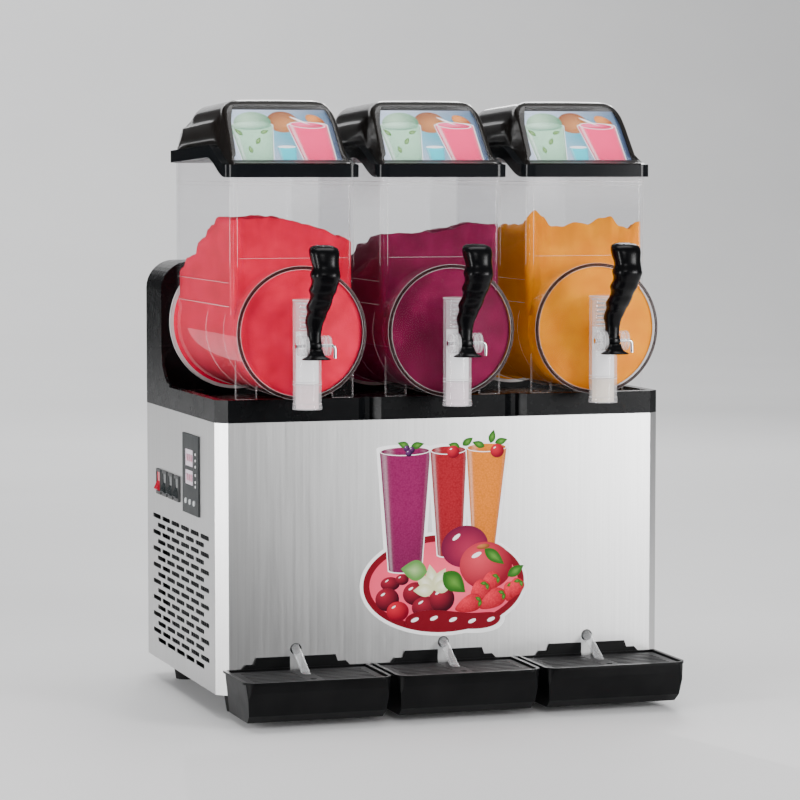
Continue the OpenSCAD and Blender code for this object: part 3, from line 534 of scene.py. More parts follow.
def slush_piece(n):
    """The drink: it fills the drum round the evaporator and stands up into the box, with a lumpy top."""
    inside = BOX_HW - BOX_WALL - GAP
    drum = DRUM_R - BOWL_WALL - GAP
    lower, side, upper = 60, 14, 44
    corner = 7

    def drum_arc(r, angle):
        """Lower stretch of a ring, from the right side's foot round to the left side's."""
        stretch = (angle - (math.pi + 2 * angle) * i / lower for i in range(lower))
        return [(r * math.cos(a), r * math.sin(a)) for a in stretch]

    def outline(y, half):
        """Drum below, straight sides and lumpy top."""
        half = min(half, drum - 0.4)
        angle = math.pi / 2 - math.asin(min(half / drum, 1))
        ring = [(x, AXIS_Z + z) for x, z in drum_arc(drum, angle)]
        foot = AXIS_Z + drum * math.sin(angle)
        ring += [(-half, blend(foot, slush_top(n, -half, y), i / side)) for i in range(side)]
        for i in range(upper):
            x = blend(-half, half, i / upper)
            ring.append((x, slush_top(n, x, y)))
        ring += [(half, blend(slush_top(n, half, y), foot, i / side)) for i in range(side)]
        return [at(n, x, y, z) for x, z in ring]

    def circle(y, r):
        """The same number of points round the drum, matched to the outline by where they lie."""
        angle = math.pi / 2 - math.asin(inside / drum)
        ring = drum_arc(r, angle)
        rest = side * 2 + upper
        for i in range(rest):
            a = math.pi - angle - (math.pi - 2 * angle) * i / rest
            ring.append((r * math.cos(a), r * math.sin(a)))
        return [at(n, x, y, AXIS_Z + z) for x, z in ring]

    y0 = BOX_Y0 + BOX_WALL + GAP
    y1 = BOWL_Y1 - 1.0
    outer = [circle(DRUM_FRONT + BOWL_WALL + GAP + d, drum - 2 + d) for d in (0, 0.7, 2)]
    outer += [circle(y, drum) for y in (-20, -8, y0 - 0.1)]
    for step in range(5):
        a = math.pi / 2 * step / 4
        outer.append(outline(y0 + corner * (1 - math.cos(a)), inside - corner * (1 - math.sin(a))))
    stations = 40
    for i in range(1, stations + 1):
        outer.append(outline(blend(y0 + corner, y1 - 1.2, i / stations), inside))
    flare = FLANGE_R - 4.5
    outer += [circle(y, r) for y, r in ((y1 - 0.6, drum), (y1 - 0.5, flare), (y1, flare))]
    inner = [circle(y, SWEEP_R) for y in (y1, 200, 100, 20, -5)]
    piece(f"slush_{n}", lofted(outer + inner), f"bowl_{n}", SLUSH[n]["look"])


for n in BOWLS:
    slush_piece(n)


# ---------------------------------------------------------------- lids

CARD_LOW = (22, 331)
CARD_HIGH = (72.9, 397.4)


HOOD_SLOPE = (20, 70)
HOOD_FRONT = (331, 393)
HOOD_CREST = 96
HOOD_BACK = (240, 258, 276, 312)


def hood_top(y, base):
    """Height of the hood's middle: sloped window, rounded crest, long top and a stepped fall to the back."""
    start, end = HOOD_SLOPE
    fall, bend, foot, back = HOOD_BACK
    crown = LID_TOP - 0.5
    if y < start:
        return ease(base + 3, HOOD_FRONT[0], (y - 9) / 11)
    if y < end:
        return blend(*HOOD_FRONT, (y - start) / (end - start))
    if y < HOOD_CREST:
        return blend(HOOD_FRONT[1], crown, math.sin(math.pi / 2 * (y - end) / (HOOD_CREST - end)))
    if y < fall:
        return blend(crown, 402, (y - HOOD_CREST) / (fall - HOOD_CREST))
    if y < bend:
        return ease(402, 388, (y - fall) / (foot - fall))
    if y < foot:
        return blend(395, 384, (y - bend) / (foot - bend))
    return blend(384, band_z(back) + 3, (y - foot) / (back - foot))


def hood_section(y):
    """Half outline of the hood at a depth: from the band up over the side step to the middle of the top."""
    base = band_z(y) - 1
    top = hood_top(y, base)
    wide = 78.5 - 1.5 * min(max((y - 20) / 80, 0), 1)
    step = min(along_points([(60, base + 4), (80, 347), (112, 378), (300, 372)], y), top - 4)
    shoulder = min(blend(7, 20, (y - 60) / 40), max(top - base - 6, 1.5))
    lean = blend(0, 4, (top - base) / 70)
    proud = 2.4 if y > 70 and step > base + 5 else 0.2
    side_top = max(top - shoulder, step + 2.6)
    side = wide - 0.8
    inner = side - proud
    half = [(wide, base), (wide - 0.3, blend(base, step, 0.5)), (side, step), (inner, step + 2.2)]
    for a in (math.pi / 2 * i / 6 for i in range(7)):
        turn_in = shoulder * 1.05 * (1 - math.cos(a))
        half.append((inner - lean - turn_in, side_top + (top - side_top) * math.sin(a)))
    flat = half[-1][0]
    crown = 0.45 if y > 90 else 0
    half += [(flat * (1 - i / 4.0), top + crown * math.sin(math.pi / 2 * i / 4)) for i in range(1, 5)]
    return half


def hood_piece(n):
    """Smoked hood with a clear front window, as one sheet of even thickness."""
    depths = [9, 10, 13, 17, 20, 21.5, 26, 34, 42, 50, 58, 65, 69, 71, 74, 79, 86, 96, 104, 112]
    depths += [130, 150, 170, 190, 210, 230, 240, 249, 258, 267, 276, 280, 290, 300, 308, 311]
    window, border = (20, 79), 10
    points, faces, looks = [], [], []
    for i, y in enumerate(depths):
        half = hood_section(y)
        row = [at(n, x, y, z) for x, z in half] + [at(n, -x, y, z) for x, z in reversed(half[:-1])]
        width = len(row)
        if i < len(depths) - 1:
            for k in range(width - 1):
                a = i * width + k
                faces.append((a, a + 1, a + width + 1, a + width))
                looks.append(int(window[0] <= y < window[1] and border <= k < width - 1 - border))
        points += row
    hood = piece(f"lid_hood_{n}", (points, faces), f"lid_{n}", LOOKS["lid_smoke"], LOOKS["lid_window"])
    hood.data.polygons.foreach_set("material_index", looks)
    shell = hood.modifiers.new("sheet", "SOLIDIFY")
    shell.thickness = 2.2 * MM
    shell.offset = 1
    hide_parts(f"lid_dome_{n}")


for n in BOWLS:
    hood_piece(n)


# ---------------------------------------------------------------- printed artwork, built up in thin layers

def print_look(name, speckle):
    """Glossy print: the mesh's points give the ink, a little blotched and, for drinks, with ice crystals."""
    look = Look(name, roughness=0.35, specular=0.06)
    ink = look.node("ShaderNodeVertexColor", layer_name="ink").outputs["Color"]
    lifted = look.mix(1.0, ink, (0.015, 0.012, 0.012), "ADD")
    pale = look.mix(1.0, lifted, (1.7, 1.7, 1.7), "MULTIPLY")
    blotch = look.scale(look.noise(90, 6), 0.0, 0.16)
    crystals = look.scale(look.cells(430), speckle, 0.0)
    look.feed(
        color=look.mix(look.combine("ADD", blotch, crystals, clamped=True), ink, pale),
        normal=look.bump(look.noise(900, 2), 0.00002, 0.4),
    )
    return look


INK_LOOKS = {"plain": print_look("print_plain", 0.0), "iced": print_look("print_iced", 0.55)}


def moved(ring, x, z, turn):
    """A ring of points, turned by some degrees and moved to (x, z)."""
    c, s = math.cos(math.radians(turn)), math.sin(math.radians(turn))
    return [(x + u * c - v * s, z + u * s + v * c) for u, v in ring]


def oval(x, z, a, b, turn=0.0, count=36):
    return moved([(a * math.cos(t), b * math.sin(t)) for t in angles(count)], x, z, turn)


def leaf(x, z, length, width, turn):
    """A pointed leaf from its stalk at (x, z)."""
    side = [(length * t, width / 2 * math.sin(math.pi * t ** 0.8)) for t in (i / 12 for i in range(13))]
    return moved(side + [(u, -v) for u, v in reversed(side[1:-1])], x, z, turn)


def berry(x, z, length, width, turn):
    """A strawberry: broad at its stalk end, which is at (x, z), and narrow at its tip."""
    ring = []
    for t in angles(30):
        u = length * (1 - math.cos(t)) / 2
        ring.append((u, width / 2 * math.sin(t) * (1.25 - 0.7 * u / length)))
    return moved(ring, x, z, turn)


def banner(x0, x1, z0, z1, wave, grow=0.0):
    """A ribbon with a slow wave and rounded ends."""
    count = 32
    mid, half = (z0 + z1) / 2, (z1 - z0) / 2 + grow
    upper, lower = [], []
    for k in range(count + 1):
        t = math.sin(math.pi / 2 * (2 * k / count - 1))
        round_end = (1 - abs(t) ** 7) ** 0.5
        x = blend(x0 - grow, x1 + grow, (t + 1) / 2)
        z = mid + wave * math.sin(math.pi * (t + 1))
        upper.append((x, z + half * round_end))
        lower.append((x, z - half * round_end))
    return upper[1:] + lower[-2:0:-1]


def tumbler(x0, x1, top, foot, taper, lean=0.0, lip=5.0, grow=0.0):
    """A tall tapered glass with a round rim and foot, as rows of points from foot to rim."""
    mid, half = (x0 + x1) / 2, (x1 - x0) / 2
    rows = []
    for j in range(13):
        v = j / 12
        wide = half - taper * (1 - v) + grow
        row = []
        for i in range(17):
            u = math.sin(math.pi / 2 * (i / 8 - 1))
            round_end = lip * math.sqrt(max(0, 1 - u * u))
            low, high = foot - grow - 0.8 * round_end, top + grow + round_end
            row.append((mid + lean * (1 - v) + wide * u, blend(low, high, v)))
        rows.append(row)
    return rows


def flat(color):
    return lambda u, v, t: color


def ball(deep, bright, spot=(-0.35, 0.4), power=1.2):
    """Bright near a spot of light and deep towards the far edge."""
    def color(u, v, t):
        far = min(math.hypot(u - spot[0], v - spot[1]) / 1.3, 1) ** power
        return tuple(blend(b, d, far) for b, d in zip(bright, deep))
    return color


def glassy(deep, bright, streak=0.5):
    """Darker towards both sides and the foot, with a soft upright light near the left."""
    def color(u, v, t):
        dark = min(1, abs(u) ** 3 * 0.8 + max(0, -v) * 0.35)
        light = streak * math.exp(-((u + 0.66) / 0.10) ** 2) + 0.3 * streak * math.exp(-((u - 0.8) / 0.08) ** 2)
        return tuple(min(1, blend(b, d, dark) + light * (1 - b) * 0.6) for b, d in zip(bright, deep))
    return color


def veined(deep, bright):
    """A leaf, paler towards its middle."""
    return lambda u, v, t: tuple(blend(b, d, min(1, 0.25 + t)) for b, d in zip(bright, deep))


WHITE = flat((0.90, 0.90, 0.91))
SHINE = flat((0.95, 0.90, 0.92))
MAROON = flat((0.17, 0.002, 0.010))
LEAF = veined((0.02, 0.11, 0.01), (0.14, 0.34, 0.05))
PALE_LEAF = veined((0.10, 0.26, 0.06), (0.42, 0.58, 0.26))
CHERRY = ball((0.035, 0.0, 0.006), (0.30, 0.012, 0.03))
RED_CHERRY = ball((0.16, 0.0, 0.010), (0.58, 0.010, 0.032))


PRINT_LAYER = 0.03


class Print:
    """Flat artwork on a plane: shapes in thin layers, each above those that it overlaps."""

    def __init__(self, name, body, origin, right, up):
        self.name, self.body, self.origin = name, body, origin
        self.right, self.up = right.normalized(), up.normalized()
        self.out = self.right.cross(self.up)
        self.laid = []
        self.sheets = {kind: ([], [], []) for kind in INK_LOOKS}

    def level(self, shape):
        """The layer that a shape comes in: one above the highest that its box overlaps."""
        box = [f(p[k] for p in shape) for k in (0, 1) for f in (min, max)]
        below = [
            level for other, level in self.laid
            if box[0] < other[1] and other[0] < box[1] and box[2] < other[3] and other[2] < box[3]
        ]
        height = 1 + max(below, default=0)
        self.laid.append((box, height))
        return height

    def add(self, kind, shape, faces, edge, colors):
        """A closed thin slab: a coloured top, a skirt round its edge and a flat back."""
        points, all_faces, inks = self.sheets[kind]
        height = self.level(shape) * PRINT_LAYER * MM
        first = len(points)
        base = [self.origin + self.right * (x * MM) + self.up * (z * MM) for x, z in shape]
        points += [p + self.out * height for p in base] + [base[k] for k in edge]
        inks += colors + [colors[k] for k in edge]
        all_faces += [tuple(first + k for k in face) for face in faces]
        under = first + len(shape)
        for k, here in enumerate(edge):
            j = (k + 1) % len(edge)
            all_faces.append((first + here, under + k, under + j, first + edge[j]))
        all_faces.append(tuple(under + k for k in reversed(range(len(edge)))))

    def lay(self, color, outline, kind="plain"):
        """A shape that can be seen whole from its middle."""
        area = sum(a[0] * b[1] - b[0] * a[1] for a, b in zip(outline, outline[1:] + outline[:1]))
        outline = outline if area > 0 else outline[::-1]
        count = len(outline)
        mid = (sum(p[0] for p in outline) / count, sum(p[1] for p in outline) / count)
        half = [max(abs(p[k] - mid[k]) for p in outline) for k in (0, 1)]
        steps = (1.0, 0.94, 0.8, 0.6, 0.4, 0.2)
        shape, faces = [], []
        for t in steps:
            shape += [(mid[0] + (x - mid[0]) * t, mid[1] + (z - mid[1]) * t) for x, z in outline]
        shape.append(mid)
        for i in range(len(steps) - 1):
            for k in range(count):
                a, b = i * count + k, i * count + (k + 1) % count
                faces.append((a, b, b + count, a + count))
        last = (len(steps) - 1) * count
        faces += [(last + k, last + (k + 1) % count, len(shape) - 1) for k in range(count)]
        colors = []
        for i, (x, z) in enumerate(shape):
            t = steps[i // count] if i < len(shape) - 1 else 0
            colors.append(color((x - mid[0]) / half[0], (z - mid[1]) / half[1], t))
        self.add(kind, shape, faces, list(range(count)), colors)

    def lay_rows(self, color, rows, kind="plain"):
        """A shape given as rows of points."""
        wide, tall = len(rows[0]), len(rows)
        shape = [p for row in rows for p in row]
        starts = [j * wide + i for j in range(tall - 1) for i in range(wide - 1)]
        faces = [(a, a + 1, a + wide + 1, a + wide) for a in starts]
        edge = list(range(wide)) + [j * wide + wide - 1 for j in range(1, tall)]
        edge += [(tall - 1) * wide + i for i in reversed(range(wide - 1))]
        edge += [j * wide for j in reversed(range(1, tall - 1))]
        across = [2 * i / (wide - 1) - 1 for i in range(wide)]
        colors = [color(u, 2 * j / (tall - 1) - 1, 1) for j in range(tall) for u in across]
        self.add(kind, shape, faces, edge, colors)

    def make(self):
        for kind, (points, faces, inks) in self.sheets.items():
            made = piece(f"{self.name}_{kind}", (points, faces), self.body, INK_LOOKS[kind], smooth=False)
            layer = made.data.color_attributes.new(name="ink", type="FLOAT_COLOR", domain="POINT")
            for value, ink in zip(layer.data, inks):
                value.color = (*ink, 1)


def fruit(sheet, x, z, a, b, color, turn=0):
    sheet.lay(color, oval(x, z, a, b, turn))
    sheet.lay(SHINE, oval(x - a * 0.36, z + b * 0.46, a * 0.20, b * 0.09, turn + 30, 14))


DRINKS = (
    (glassy((0.055, 0.0, 0.018), (0.165, 0.003, 0.060), 0.3), (-86, -18, -42, -194, 12, 0)),
    (glassy((0.11, 0.0, 0.004), (0.24, 0.003, 0.010), 0.3), (-18, 31, -42, -176, 8, 2)),
    (glassy((0.26, 0.060, 0.001), (0.54, 0.145, 0.003), 0.3), (31, 86, -40, -176, 13, -4)),
)


def drink(sheet, color, glass, border):
    """An iced drink in a white-edged glass, whose sizes are those that tumbler() takes."""
    sheet.lay_rows(WHITE, tumbler(*glass, grow=border))
    sheet.lay_rows(color, tumbler(*glass), "iced")


def front_sticker():
    """Sticker on the front: three iced drinks over an oval with fruit, and a plain ribbon."""
    sheet = Print("sticker", "root", at(0, 0, -0.01, 0), Vector((1, 0, 0)), Vector((0, 0, 1)))
    sheet.lay(WHITE, oval(1, -214, 114, 68, count=80))
    for _, glass in DRINKS:
        sheet.lay_rows(WHITE, tumbler(*glass, grow=4.5))
    sheet.lay(WHITE, banner(-54, 80, -273, -250, 3, grow=4.5))
    sheet.lay(MAROON, oval(1, -214, 109.5, 63.5, count=80))
    sheet.lay(ball((0.74, 0.05, 0.11), (0.92, 0.10, 0.18), (0, 0)), oval(1, -214, 101, 55, count=80))
    for color, glass in DRINKS:
        x0, x1, top = glass[:3]
        mid, half = (x0 + x1) / 2, (x1 - x0) / 2
        drink(sheet, color, glass, 1.3)
        sheet.lay(SHINE, oval(mid, top + 0.6, half, 6.0))
        sheet.lay(color, oval(mid, top + 0.6, half - 1.5, 4.9), "iced")
    for x, z, length, turn in (
        (-46, -36, 17, 160), (-44, -36, 18, 12), (22, -38, 16, 165), (26, -36, 17, 35), (56, -38, 18, 160),
        (64, -34, 18, 75), (70, -34, 18, 15),
    ):
        sheet.lay(LEAF, leaf(x, z, length, 9, turn))
    for x, z, r in ((-50, -38, 4), (-43, -40, 4), (-47, -44, 4.4)):
        fruit(sheet, x, z, r, r, ball((0.01, 0.0, 0.02), (0.12, 0.03, 0.14)))
    for x, z, r in ((13, -44, 8.6), (73, -44, 9.4)):
        fruit(sheet, x, z, r, r * 0.95, RED_CHERRY)
    fruit(sheet, 29, -167, 32, 27, ball((0.075, 0.001, 0.026), (0.34, 0.018, 0.060), (0.1, -0.1)), 8)
    fruit(sheet, 58, -193, 36, 31, ball((0.19, 0.002, 0.014), (0.62, 0.045, 0.075), (-0.3, 0.3)), -6)
    sheet.lay(ball((0.16, 0.05, 0.01), (0.50, 0.18, 0.05)), oval(54, -168, 9, 3.2, 8, 20))
    sheet.lay(LEAF, leaf(56, -171, 34, 15, -38))
    sheet.lay(LEAF, leaf(88, -208, 26, 13, 32))
    for x, z, length, width, turn in (
        (76, -206, 30, 24, 215), (96, -216, 26, 22, 250), (60, -214, 34, 26, 230), (84, -228, 40, 25, 210),
        (106, -212, 28, 20, 240), (52, -236, 38, 24, 200),
    ):
        sheet.lay(ball((0.24, 0.0, 0.008), (0.62, 0.016, 0.040)), berry(x, z, length, width, turn), "iced")
        for spread in (-50, 50):
            sheet.lay(LEAF, leaf(x - 1, z - 2, 9, 5, turn + spread))
    for x, z, a, b, color in (
        (-72, -212, 13, 9, CHERRY), (-56, -207, 9, 7, CHERRY), (-76, -232, 16, 15, CHERRY),
        (-38, -226, 17, 15, CHERRY), (-62, -248, 15, 13, RED_CHERRY), (-24, -244, 19, 14, CHERRY),
        (-2, -234, 17, 17, CHERRY),
    ):
        fruit(sheet, x, z, a, b, color)
    for turn, length in ((100, 26), (140, 24), (60, 24), (180, 20), (20, 20)):
        sheet.lay(veined((0.62, 0.62, 0.36), (0.94, 0.93, 0.80)), leaf(-13, -222, length + 8, 17, turn))
    sheet.lay(PALE_LEAF, leaf(-22, -198, 36, 27, 172))
    sheet.lay(LEAF, leaf(0, -200, 40, 26, -42))
    sheet.lay(MAROON, banner(-52, 78, -272, -251, 3))
    for k in range(5):
        t = (k + 0.5) / 5
        sheet.lay(SHINE, oval(-52 + 130 * t, -261.5 + 3 * math.sin(2 * math.pi * t), 5.5, 2.4, 20, 20))
    sheet.make()


def card_ground(u, v, t):
    """Pale at the left, clear blue-green low in the middle and dusky towards the right."""
    pale, clear, dusk = (0.66, 0.72, 0.88), (0.10, 0.40, 0.52), (0.10, 0.13, 0.24)
    side = blend(0, 1, (u + 1) / 2)
    if side < 0.5:
        return tuple(blend(p, c, 2 * side) for p, c in zip(pale, clear))
    return tuple(blend(c, d, 2 * side - 1) for c, d in zip(clear, dusk))


def lid_cards():
    """Picture card behind each lid's window: a green and a red iced drink on a pale ground."""
    y0, z0 = CARD_LOW
    y1, z1 = CARD_HIGH
    slope = Vector((0, y1 - y0, z1 - z0))
    tall = math.hypot(y1 - y0, z1 - z0)
    card_depth = 4.2 * MM
    behind = Vector((0, z1 - z0, y0 - y1)).normalized() * card_depth
    for n in BOWLS:
        sheet = Print(f"lid_card_{n}", f"lid_{n}", at(n, 0, y0, z0) + behind, Vector((1, 0, 0)), slope)
        sheet.lay(card_ground, [(-71, 0), (71, 0), (68, tall), (-68, tall)])
        sheet.lay(ball((0.20, 0.05, 0.02), (0.62, 0.24, 0.08), (0.1, -0.2)), oval(2, 64, 21, 17))
        sheet.lay(ball((0.10, 0.26, 0.15), (0.46, 0.66, 0.48)), oval(-38, 62, 25, 18, 6))
        drink(sheet, glassy((0.08, 0.22, 0.13), (0.36, 0.60, 0.42), 0.8), (-68, -12, 58, 1, 8, 0, 3.5), 1.0)
        sheet.lay(ball((0.16, 0.34, 0.22), (0.52, 0.70, 0.56)), oval(-40, 58, 26, 7, 2), "iced")
        for x, z, length, turn in (
            (-54, 42, 15, 130), (-38, 28, 13, 60), (-30, 46, 12, 20), (-46, 14, 12, 100),
        ):
            sheet.lay(PALE_LEAF, leaf(x, z, length, 6, turn))
        sheet.lay_rows(glassy((0.0, 0.22, 0.36), (0.02, 0.62, 0.74)), tumbler(-11, 13, 22, 1, 2, 0, 2.5))
        sheet.lay(SHINE, oval(1, 24, 12, 2.2))
        sheet.lay(ball((0.34, 0.06, 0.01), (0.85, 0.30, 0.07)), oval(46, 66, 14, 8, -35))
        drink(sheet, glassy((0.40, 0.0, 0.040), (0.94, 0.02, 0.15), 0.9), (8, 60, 58, 1, 5, 8, 4.5), 1.2)
        sheet.lay(SHINE, oval(34, 59, 24, 5.4, -4))
        sheet.lay(ball((0.60, 0.01, 0.09), (0.98, 0.14, 0.30)), oval(34, 59, 22, 4.4, -4), "iced")
        # Painted reflection: a thin pale streak across the red drink, where the window catches the light.
        sheet.lay(SHINE, leaf(12, 73, 30, 3, -28))
        sheet.make()


front_sticker()
lid_cards()


# ---------------------------------------------------------------- taps

# Stations of the grip from foot to top: height, depth, half width and half depth
HANDLE = [
    (88, -86, 8.2, 8.4), (100, -86, 8.2, 9.0), (111, -86, 8.3, 9.2), (118, -86, 8.8, 9.6),
    (125, -86.5, 9.8, 10.2), (130, -88.5, 10.8, 10.6), (136, -92.5, 12.2, 11.2), (142, -98, 12.4, 12),
    (150, -106, 14.2, 13), (156, -112.5, 14.3, 13.4), (160, -116, 13.9, 13.4), (166, -121.5, 14.3, 14.2),
    (170, -125, 16.2, 14.8), (177, -130.5, 16.0, 15.2), (183, -134.8, 16.8, 16), (190, -137.6, 18.0, 16.6),
    (194, -138, 17.2, 16.2), (199, -137.2, 16.4, 15.8), (206, -134.4, 16.6, 16.4), (211, -132.6, 17.4, 17.4),
    (216, -131.4, 18.2, 17.8), (220, -130.4, 18.0, 17.4), (223.4, -130, 16.4, 15.8), (225.4, -130, 12.4, 12),
    (226, -130, 6, 6),
]


def handle_station(z):
    """Depth, half width, half depth and sideways shift of the grip, with a wave for each finger."""
    low, high = next((a, b) for a, b in zip(HANDLE, HANDLE[1:]) if z <= b[0])
    share = (z - low[0]) / (high[0] - low[0])
    y = blend(low[1], high[1], share)
    a, b = (ease(low[k], high[k], share) for k in (2, 3))
    finger = 20.5
    fade = min(1, max(0, (z - 116) / 10)) * min(1, max(0, (212 - z) / 8))
    wave = math.cos(2 * math.pi * (z - 191) / finger) * fade
    return y, a + 0.25 * wave, b + 0.7 * wave, -0.5 * wave


def squircle(count, a, b, power=2.6):
    """A rounded-rectangle ring."""
    ring = [(math.cos(t), math.sin(t)) for t in angles(count)]
    return [
        (a * math.copysign(abs(c) ** (2 / power), c), b * math.copysign(abs(s) ** (2 / power), s))
        for c, s in ring
    ]


def discs(n, y, z, profile, ends):
    """A part turned about the axis at (y, z), from (x, radius) points: closed at its ends, or a ring."""
    rings = [[at(n, x, y + r * math.cos(t), z + r * math.sin(t)) for t in angles(32)] for x, r in profile]
    return lofted(rings if ends else rings + [rings[0]], ends)


def handle_piece(n):
    """Black lever: finger-shaped grip, hub on the pin, skirt over the tap and the arm into the piston."""
    rings = []
    heights = [88 + 2.5 * k for k in range(54)] + [223.4, 225.4, 226]
    for z in heights:
        y, a, b, shift = handle_station(z)
        rings.append([at(n, shift + u, y + v, z + 0.12 * v) for u, v in squircle(28, a, b)])
    hub = [(-7.4, 2.1), (-7.4, 10), (-6.6, 10.8), (6.6, 10.8), (7.4, 10), (7.4, 2.1)]
    toe = [(-4.5, 3.2), (-3.7, 4), (3.7, 4), (4.5, 3.2)]
    arm = [
        [at(n, u, PIN_Y + y, PIN_Z + v) for u, v in squircle(16, 4.4, 2.4, 5)] for y in (9.5, 18, 25)
    ]
    skirt = [
        [at(n, u, PIN_Y - 10.5 + v, z) for u, v in squircle(28, 17.6 * s, 12.4 * s, 3.0)]
        for z, s in ((84.1, 0.97), (84.5, 1.0), (85.2, 1.0), (86.2, 0.90), (88.5, 0.66), (92, 0.52), (97, 0.45))
    ]
    skin = joined(
        lofted(rings), discs(n, PIN_Y, PIN_Z, hub, ends=False), discs(n, PIN_Y + 27, PIN_Z, toe, ends=True),
        lofted(arm), lofted(skirt),
    )
    made = piece(f"handle_grip_{n}", skin, f"handle_{n}", LOOKS["handle_black"])
    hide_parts(f"tap_handle_{n}")


def spring_piece(n):
    """Coil spring in the tap, wound evenly from end to end of the part's spring."""
    low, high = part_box(f"tap_spring_{n}")
    wire, coil, turns = 0.9 * MM, 9.5 * MM, 6.5
    steps = int(turns * 24)
    path = []
    for i in range(steps + 1):
        a = 2 * math.pi * turns * i / steps
        z = blend(low.z + wire, high.z - wire, i / steps)
        path.append(Vector((CENTRE_X[n] + coil * math.cos(a), FRONT_Y + TAP_Y * MM + coil * math.sin(a), z)))
    made = piece(f"spring_coil_{n}", tube(path, wire), f"bowl_{n}", LOOKS["spring_steel"])
    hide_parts(f"tap_spring_{n}")
    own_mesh(made)


def ear_ribs(n):
    """Ribs round the clear ears that hold the lever's pin, drawn pale as painted highlights."""
    parts = []
    for side in (-1, 1):
        for x in (13.5, 18.2):
            rings = []
            for u, r in ((-0.7, 12.45), (-0.4, 12.9), (0.4, 12.9), (0.7, 12.45)):
                places = [(PIN_Y + r * math.cos(t), PIN_Z + r * math.sin(t)) for t in angles(36)]
                rings.append([at(n, side * (x + u), y, z) for y, z in places])
            parts.append(lofted(rings, ends=False))
    piece(f"ear_ribs_{n}", joined(*parts), f"bowl_{n}", LOOKS["rim_pale"])


def rim_pieces(n):
    """The thick edge of the drum's round front: a dark band of painted shade, where the thick clear edge looks
    dark, between two bright beads of painted highlight.
    """
    def place(y, r, t):
        return at(n, r * math.cos(t), y, AXIS_Z + r * math.sin(t))

    face = DRUM_FRONT
    band = ((0.4, 80.2), (-0.25, 80.3), (-0.4, 81.5), (-0.3, 83.9), (0.8, 84.3), (0.9, 83.7))
    dark = turned(place, [(face + y, r) for y, r in band], 120)
    piece(f"drum_rim_shade_{n}", dark, f"bowl_{n}", LOOKS["rim_dark"], closed=True)
    beads = (bead(face + 1.5, DRUM_R + 0.1, 0.55), bead(face - 0.1, 79.9, 0.28))
    bright = joined(*(turned(place, profile, 120) for profile in beads))
    piece(f"drum_highlight_beads_{n}", bright, f"bowl_{n}", LOOKS["rim_pale"], closed=True)


def seam_piece(n):
    """Fine moulded lines on the bowl, round the top, along both sides, across the front and round the drum,
    drawn pale as painted highlights; and painted highlights up the front corners and along the legs' edges.
    """
    def round_front(z, y_end, out):
        r = 10
        hw = BOX_HW + out
        quarter = [math.pi / 2 * k / 6 for k in range(7)]
        path = [at(n, -hw, y_end, z)]
        path += [at(n, -hw + r - r * math.cos(t), BOX_Y0 - out + r - r * math.sin(t), z) for t in quarter]
        path += [at(n, hw - r + r * math.sin(t), BOX_Y0 - out + r - r * math.cos(t), z) for t in quarter]
        return path + [at(n, hw, y_end, z)]

    y_end = 286
    parts = [tube(round_front(z, y_end, 0.1), thick * MM) for z, thick in ((303, 0.6), (298.5, 0.35))]
    for side in (-1, 1):
        for z, y0, thick in ((176, 18, 0.4), (146, 18, 0.55)):
            x = side * (BOX_HW + 0.1)
            parts.append(tube([at(n, x, blend(y0, y_end, k / 10), z) for k in range(11)], thick * MM))
    parts.append(tube([at(n, -72 + 14.4 * k, BOX_Y0 - 0.1, 207) for k in range(11)], 0.3 * MM))
    # Painted highlights: pale lines up the rounded front corners.
    for side in (-1, 1):
        for turn, thick in ((12, 0.35), (78, 0.3)):
            t = math.radians(turn)
            x, y = side * (BOX_HW - 10 + 10.1 * math.sin(t)), BOX_Y0 + 10 - 10.1 * math.cos(t)
            parts.append(tube([at(n, x, y, 196 + 10 * k) for k in range(13)], thick * MM))
    # Painted highlights along the clear legs' edges and across their feet.
    for side in (-1, 1):
        for x in LEG_X:
            for y in LEG_Y:
                foot = AXIS_Z - math.sqrt(DRUM_R ** 2 - x ** 2)
                heights = (LEG_Z + 0.3, blend(LEG_Z, foot, 0.5), foot)
                parts.append(tube([at(n, side * x, y - 0.1, z) for z in heights], 0.22 * MM))
        width = LEG_X[1] - LEG_X[0]
        base = [at(n, side * (LEG_X[0] + width * k / 4), LEG_Y[0] - 0.1, LEG_Z + 0.3) for k in range(5)]
        parts.append(tube(base, 0.25 * MM))
    for y, thick in ((36, 0.3), (126, 0.45)):
        arc = [math.radians(165 + 210 * k / 48) for k in range(49)]
        r = DRUM_R + 0.1
        parts.append(tube([at(n, r * math.cos(t), y, AXIS_Z + r * math.sin(t)) for t in arc], thick * MM))
    piece(f"seam_and_edge_highlights_{n}", joined(*parts), f"bowl_{n}", LOOKS["bowl_seam"], closed=True)


TAP_TINTS = {1: (0.98, 0.72, 0.74), 2: (0.96, 0.76, 0.84), 3: (1.0, 0.86, 0.66)}


def tap_details(n):
    """Beads round the tap's tube, drawn pale as painted highlights, and the frosted lining of its outlet."""
    def place(z, r, t):
        return at(n, r * math.cos(t), TAP_Y + r * math.sin(t), z)

    heights = ((51, 0.55), (54.5, 0.4), (27, 0.5), (156.6, 0.7))
    beads = joined(*(turned(place, bead(z, TAP_R + 0.1, thick), 60) for z, thick in heights))
    piece(f"tap_beads_{n}", beads, f"bowl_{n}", LOOKS["rim_pale"], closed=True)
    r = TAP_BORE - 0.25
    lining = [(21, r), (50.5, r), (50.8, r - 0.3), (50.5, r - 0.6), (21, r - 0.6), (20.7, r - 0.3)]
    look = clear_plastic(f"outlet_frost_{n}", TAP_TINTS[n], 0.62, 0.8, 0.2, ior=1.2)
    piece(f"outlet_lining_{n}", turned(place, lining, 48), f"bowl_{n}", look, closed=True)


